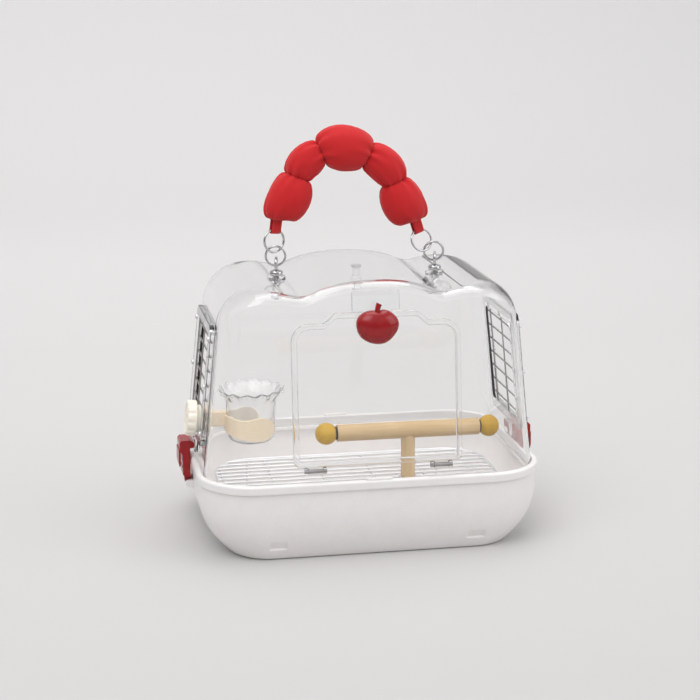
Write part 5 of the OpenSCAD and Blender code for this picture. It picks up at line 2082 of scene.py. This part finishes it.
    def _blow(self, obj: bpy.types.Object, stations: Sequence[tuple[int, float, float]]) -> None:
        """Cloth pressure from inside, held at the gathers and the ends.

        Args:
            obj: The stuffed part.
            stations: Its rings.
        """
        before = [v.co.copy() for v in obj.data.vertices]
        held = obj.vertex_groups.new(name="held")
        for i, (k, t, away) in enumerate(stations):
            end = k in (0, len(self.line) - 2) and (t < 0.25 if k == 0 else t > 0.75)
            weight = 1.0 if end else max(0.0, 1 - (abs(away) / 2.2) ** 2)
            if weight > 0.02:
                held.add(list(range(i * self.around, (i + 1) * self.around)), weight, "REPLACE")
        cloth = obj.modifiers.new("stuffing", "CLOTH")
        s = cloth.settings
        s.quality = 6
        s.mass = 0.2
        s.tension_stiffness = s.compression_stiffness = 12
        s.shear_stiffness = 6
        s.bending_stiffness = 0.4
        s.use_pressure = True
        s.uniform_pressure_force = 4.0
        s.vertex_group_mass = "held"
        s.effector_weights.gravity = 0.0
        cloth.point_cache.frame_start = 1
        cloth.point_cache.frame_end = 20
        for frame in range(1, 21):
            bpy.context.scene.frame_set(frame)
        seen = obj.evaluated_get(bpy.context.evaluated_depsgraph_get())
        after = [v.co.copy() for v in seen.data.vertices]
        obj.modifiers.clear()
        obj.vertex_groups.clear()
        bpy.context.scene.frame_set(1)
        for vert, old, new in zip(obj.data.vertices, before, after):
            step = new - old
            if step.length > self.swell * MM:
                step = step.normalized() * self.swell * MM
            vert.co = old + step

    def _gather(self, obj: bpy.types.Object, stations: Sequence[tuple[int, float, float]]) -> None:
        """Presses in the pleats at the gathers and the puckered edge seams.

        Args:
            obj: The stuffed part.
            stations: Its rings.
        """
        n = self.around
        middle = [Vector((self.at(k, t).x, 0, self.eye_z + self.at(k, t).y)) * MM
                  for k, t, _ in stations]
        run = 0.0
        for i, (k, t, away) in enumerate(stations):
            if i:
                run += (middle[i] - middle[i - 1]).length / MM
            deep = 1.3 * math.exp(-abs(away) / 7.0)
            for j in range(n):
                vert = obj.data.vertices[i * n + j]
                a = math.pi + 2 * math.pi * (j + 0.5) / n
                out = vert.co - middle[i]
                if out.length < 1e-6:
                    continue
                out.normalize()
                pleat = math.cos(9 * a + 1.7 * k) + 0.6 * math.cos(13 * a - 2.3 * k) \
                    + 0.35 * math.cos(5 * a + k)
                press = deep * (pleat - 0.5) * 0.8
                reach = min(abs(a - m * math.pi) for m in (1, 2, 3)) * self.radius(k, t)
                tuck = 0.75 + 0.35 * math.cos(2 * math.pi * run / 4.6 + k)
                press -= 1.0 * tuck * math.exp(-((reach / 1.5) ** 2))
                press += 0.35 * math.cos(2 * math.pi * run / 4.6 + k) * math.exp(-reach / 4.0)
                vert.co += out * press * MM

    def build(self) -> None:
        """Makes the stuffed part, the straps, the rings and the eye bolts."""
        body = self._stuffing()
        body = piece("handle_stuffed", body, PLUSH, "handle", stands_for=["handle_plush"])
        finer = body.modifiers.new("finer", "SUBSURF")
        finer.levels = finer.render_levels = 1
        settle(body)
        for e, name in ((0, "left"), (1, "right")):
            self._strap(e, name)
            self._rings(e, name)
            self._eye(e, name)

    def _strap(self, e: int, name: str) -> None:
        """A webbing loop round the big ring.

        Args:
            e: 0 for the left end, 1 for the right.
            name: Name of the end.
        """
        h, w = self.hang(e)
        s = self.strap_dir(e)
        twist = math.degrees(math.atan2(w.y, w.x * s.y - w.z * s.x))
        long = (self.strap_at[e] - Vector((h.x, h.z))).length + 4.0
        hole = self.wire / 2 + 0.5
        sag = self.big / 2 - math.sqrt((self.big / 2) ** 2 - (self.strap_width / 2) ** 2)
        low = hole - self.wire / 2 - sag - 0.4
        lean = math.degrees(math.atan2(s.x, s.y))
        at = move((2 * e - 1) * self.eye_x + h.x, h.y, self.eye_z + h.z) @ rot("Y", lean) \
            @ rot("Z", twist)
        r = hole + self.strap_thick / 2
        path = [Vector((0, r, long + (low - long) * k / 14)) for k in range(15)]
        for k in range(1, 16):
            a = math.pi * k / 16
            path.append(Vector((0, r * math.cos(a), low - r * math.sin(a))))
        for k in range(15):
            path.append(Vector((0, -r, low + (long - low) * k / 14)))
        part = sweep(path, lambda u: oval(self.strap_width, self.strap_thick, 20, 2.6),
                     lambda u: Vector((1, 0, 0)))
        piece(f"{name}_webbing", turned(part, at), WEBBING, "handle",
              stands_for=[f"{name}_strap"])

    def _ring_matrix(self, e: int, centre: Vector, twist: float) -> Matrix:
        """Frame of a link whose hole faces Z.

        Args:
            e: 0 for the left end, 1 for the right.
            centre: Centre from the eye.
            twist: Turn about the link's length.

        Returns:
            The frame.
        """
        l = self.link_dir(e)
        lean = math.degrees(math.atan2(l.x, l.y))
        return move((2 * e - 1) * self.eye_x + centre.x, 0, self.eye_z + centre.y) \
            @ rot("Y", lean) @ rot("Z", twist) @ rot("X", 90)

    def _rings(self, e: int, name: str) -> None:
        """The two chrome rings of one end.

        Args:
            e: 0 for the left end, 1 for the right.
            name: Name of the end.
        """
        for label, centre, twist, d in (("small", self.small_at[e], self.small_twist, self.small),
                                        ("big", self.big_at[e], self.big_twist, self.big)):
            part = torus(d, self.wire, self._ring_matrix(e, centre, twist))
            piece(f"{name}_{label}_link", part, CHROME, "handle",
                  stands_for=[f"{name}_{label}_ring"])

    def _eye(self, e: int, name: str) -> None:
        """The swivel eye bolt of one end.

        Args:
            e: 0 for the left end, 1 for the right.
            name: Name of the end.
        """
        c, r = self.cover, self.shank / 2
        x = (2 * e - 1) * self.eye_x
        eye = torus(c.eye_d, c.eye_wire, move(x, 0, self.eye_z)
                    @ rot("Z", self.small_twist) @ rot("Y", 90))
        low, collar, top = c.boss_low, c.boss_top + self.gap, c.eye_low
        stem = lathe([(r - 0.5, low - 6), (r, low - 5.5), (r, collar), (r + 2.7, collar),
                      (r + 3.4, collar + 0.6), (r + 3.4, top - 1.0), (r + 2.6, top - 0.3),
                      (r + 0.9, top + 0.1), (r - 0.5, top + 0.9)], 40)
        piece(f"{name}_eye", joined(eye, turned(stem, move(x, 0, 0))), CHROME,
              f"{name}_swivel", stands_for=[f"{name}_eye_bolt"])


# The whole carrier


CARRIED = {
    "latch_pins": STEEL, "floor_grate": STEEL, "left_grille": DARK_STEEL,
    "right_grille": DARK_STEEL, "door_hinge_pins": DARK_STEEL,
    "knob_screw": STEEL, "knob_washer": STEEL, "perch_post": POST_WOOD, "perch_dowel": WOOD,
    "perch_rings": SPACER, "perch_stud": STEEL, "perch_washers": STEEL,
    "perch_wing_nut": STEEL, "cup_bolt": STEEL, "left_eye_nut": STEEL, "right_eye_nut": STEEL,
}


def main() -> None:
    """Loads the frame, dresses it, builds the pieces in order and adds the studio."""
    logging.basicConfig(level=logging.INFO, format="%(message)s")
    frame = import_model()
    Studio().build()
    for name, finish in CARRIED.items():
        dress(frame["nodes"][name], finish)
    tub = Tub()
    cover = Cover(tub)
    door = Door(cover)
    tub.build()
    cover.build(door)
    door.build()
    EndWindows(cover).build()
    FeedingCup(cover).build()
    for side in ("left", "right"):
        SideLatch(tub, cover, side).build()
    Perch().build()
    PlushHandle(cover).build()


if __name__ == "__main__":
    main()
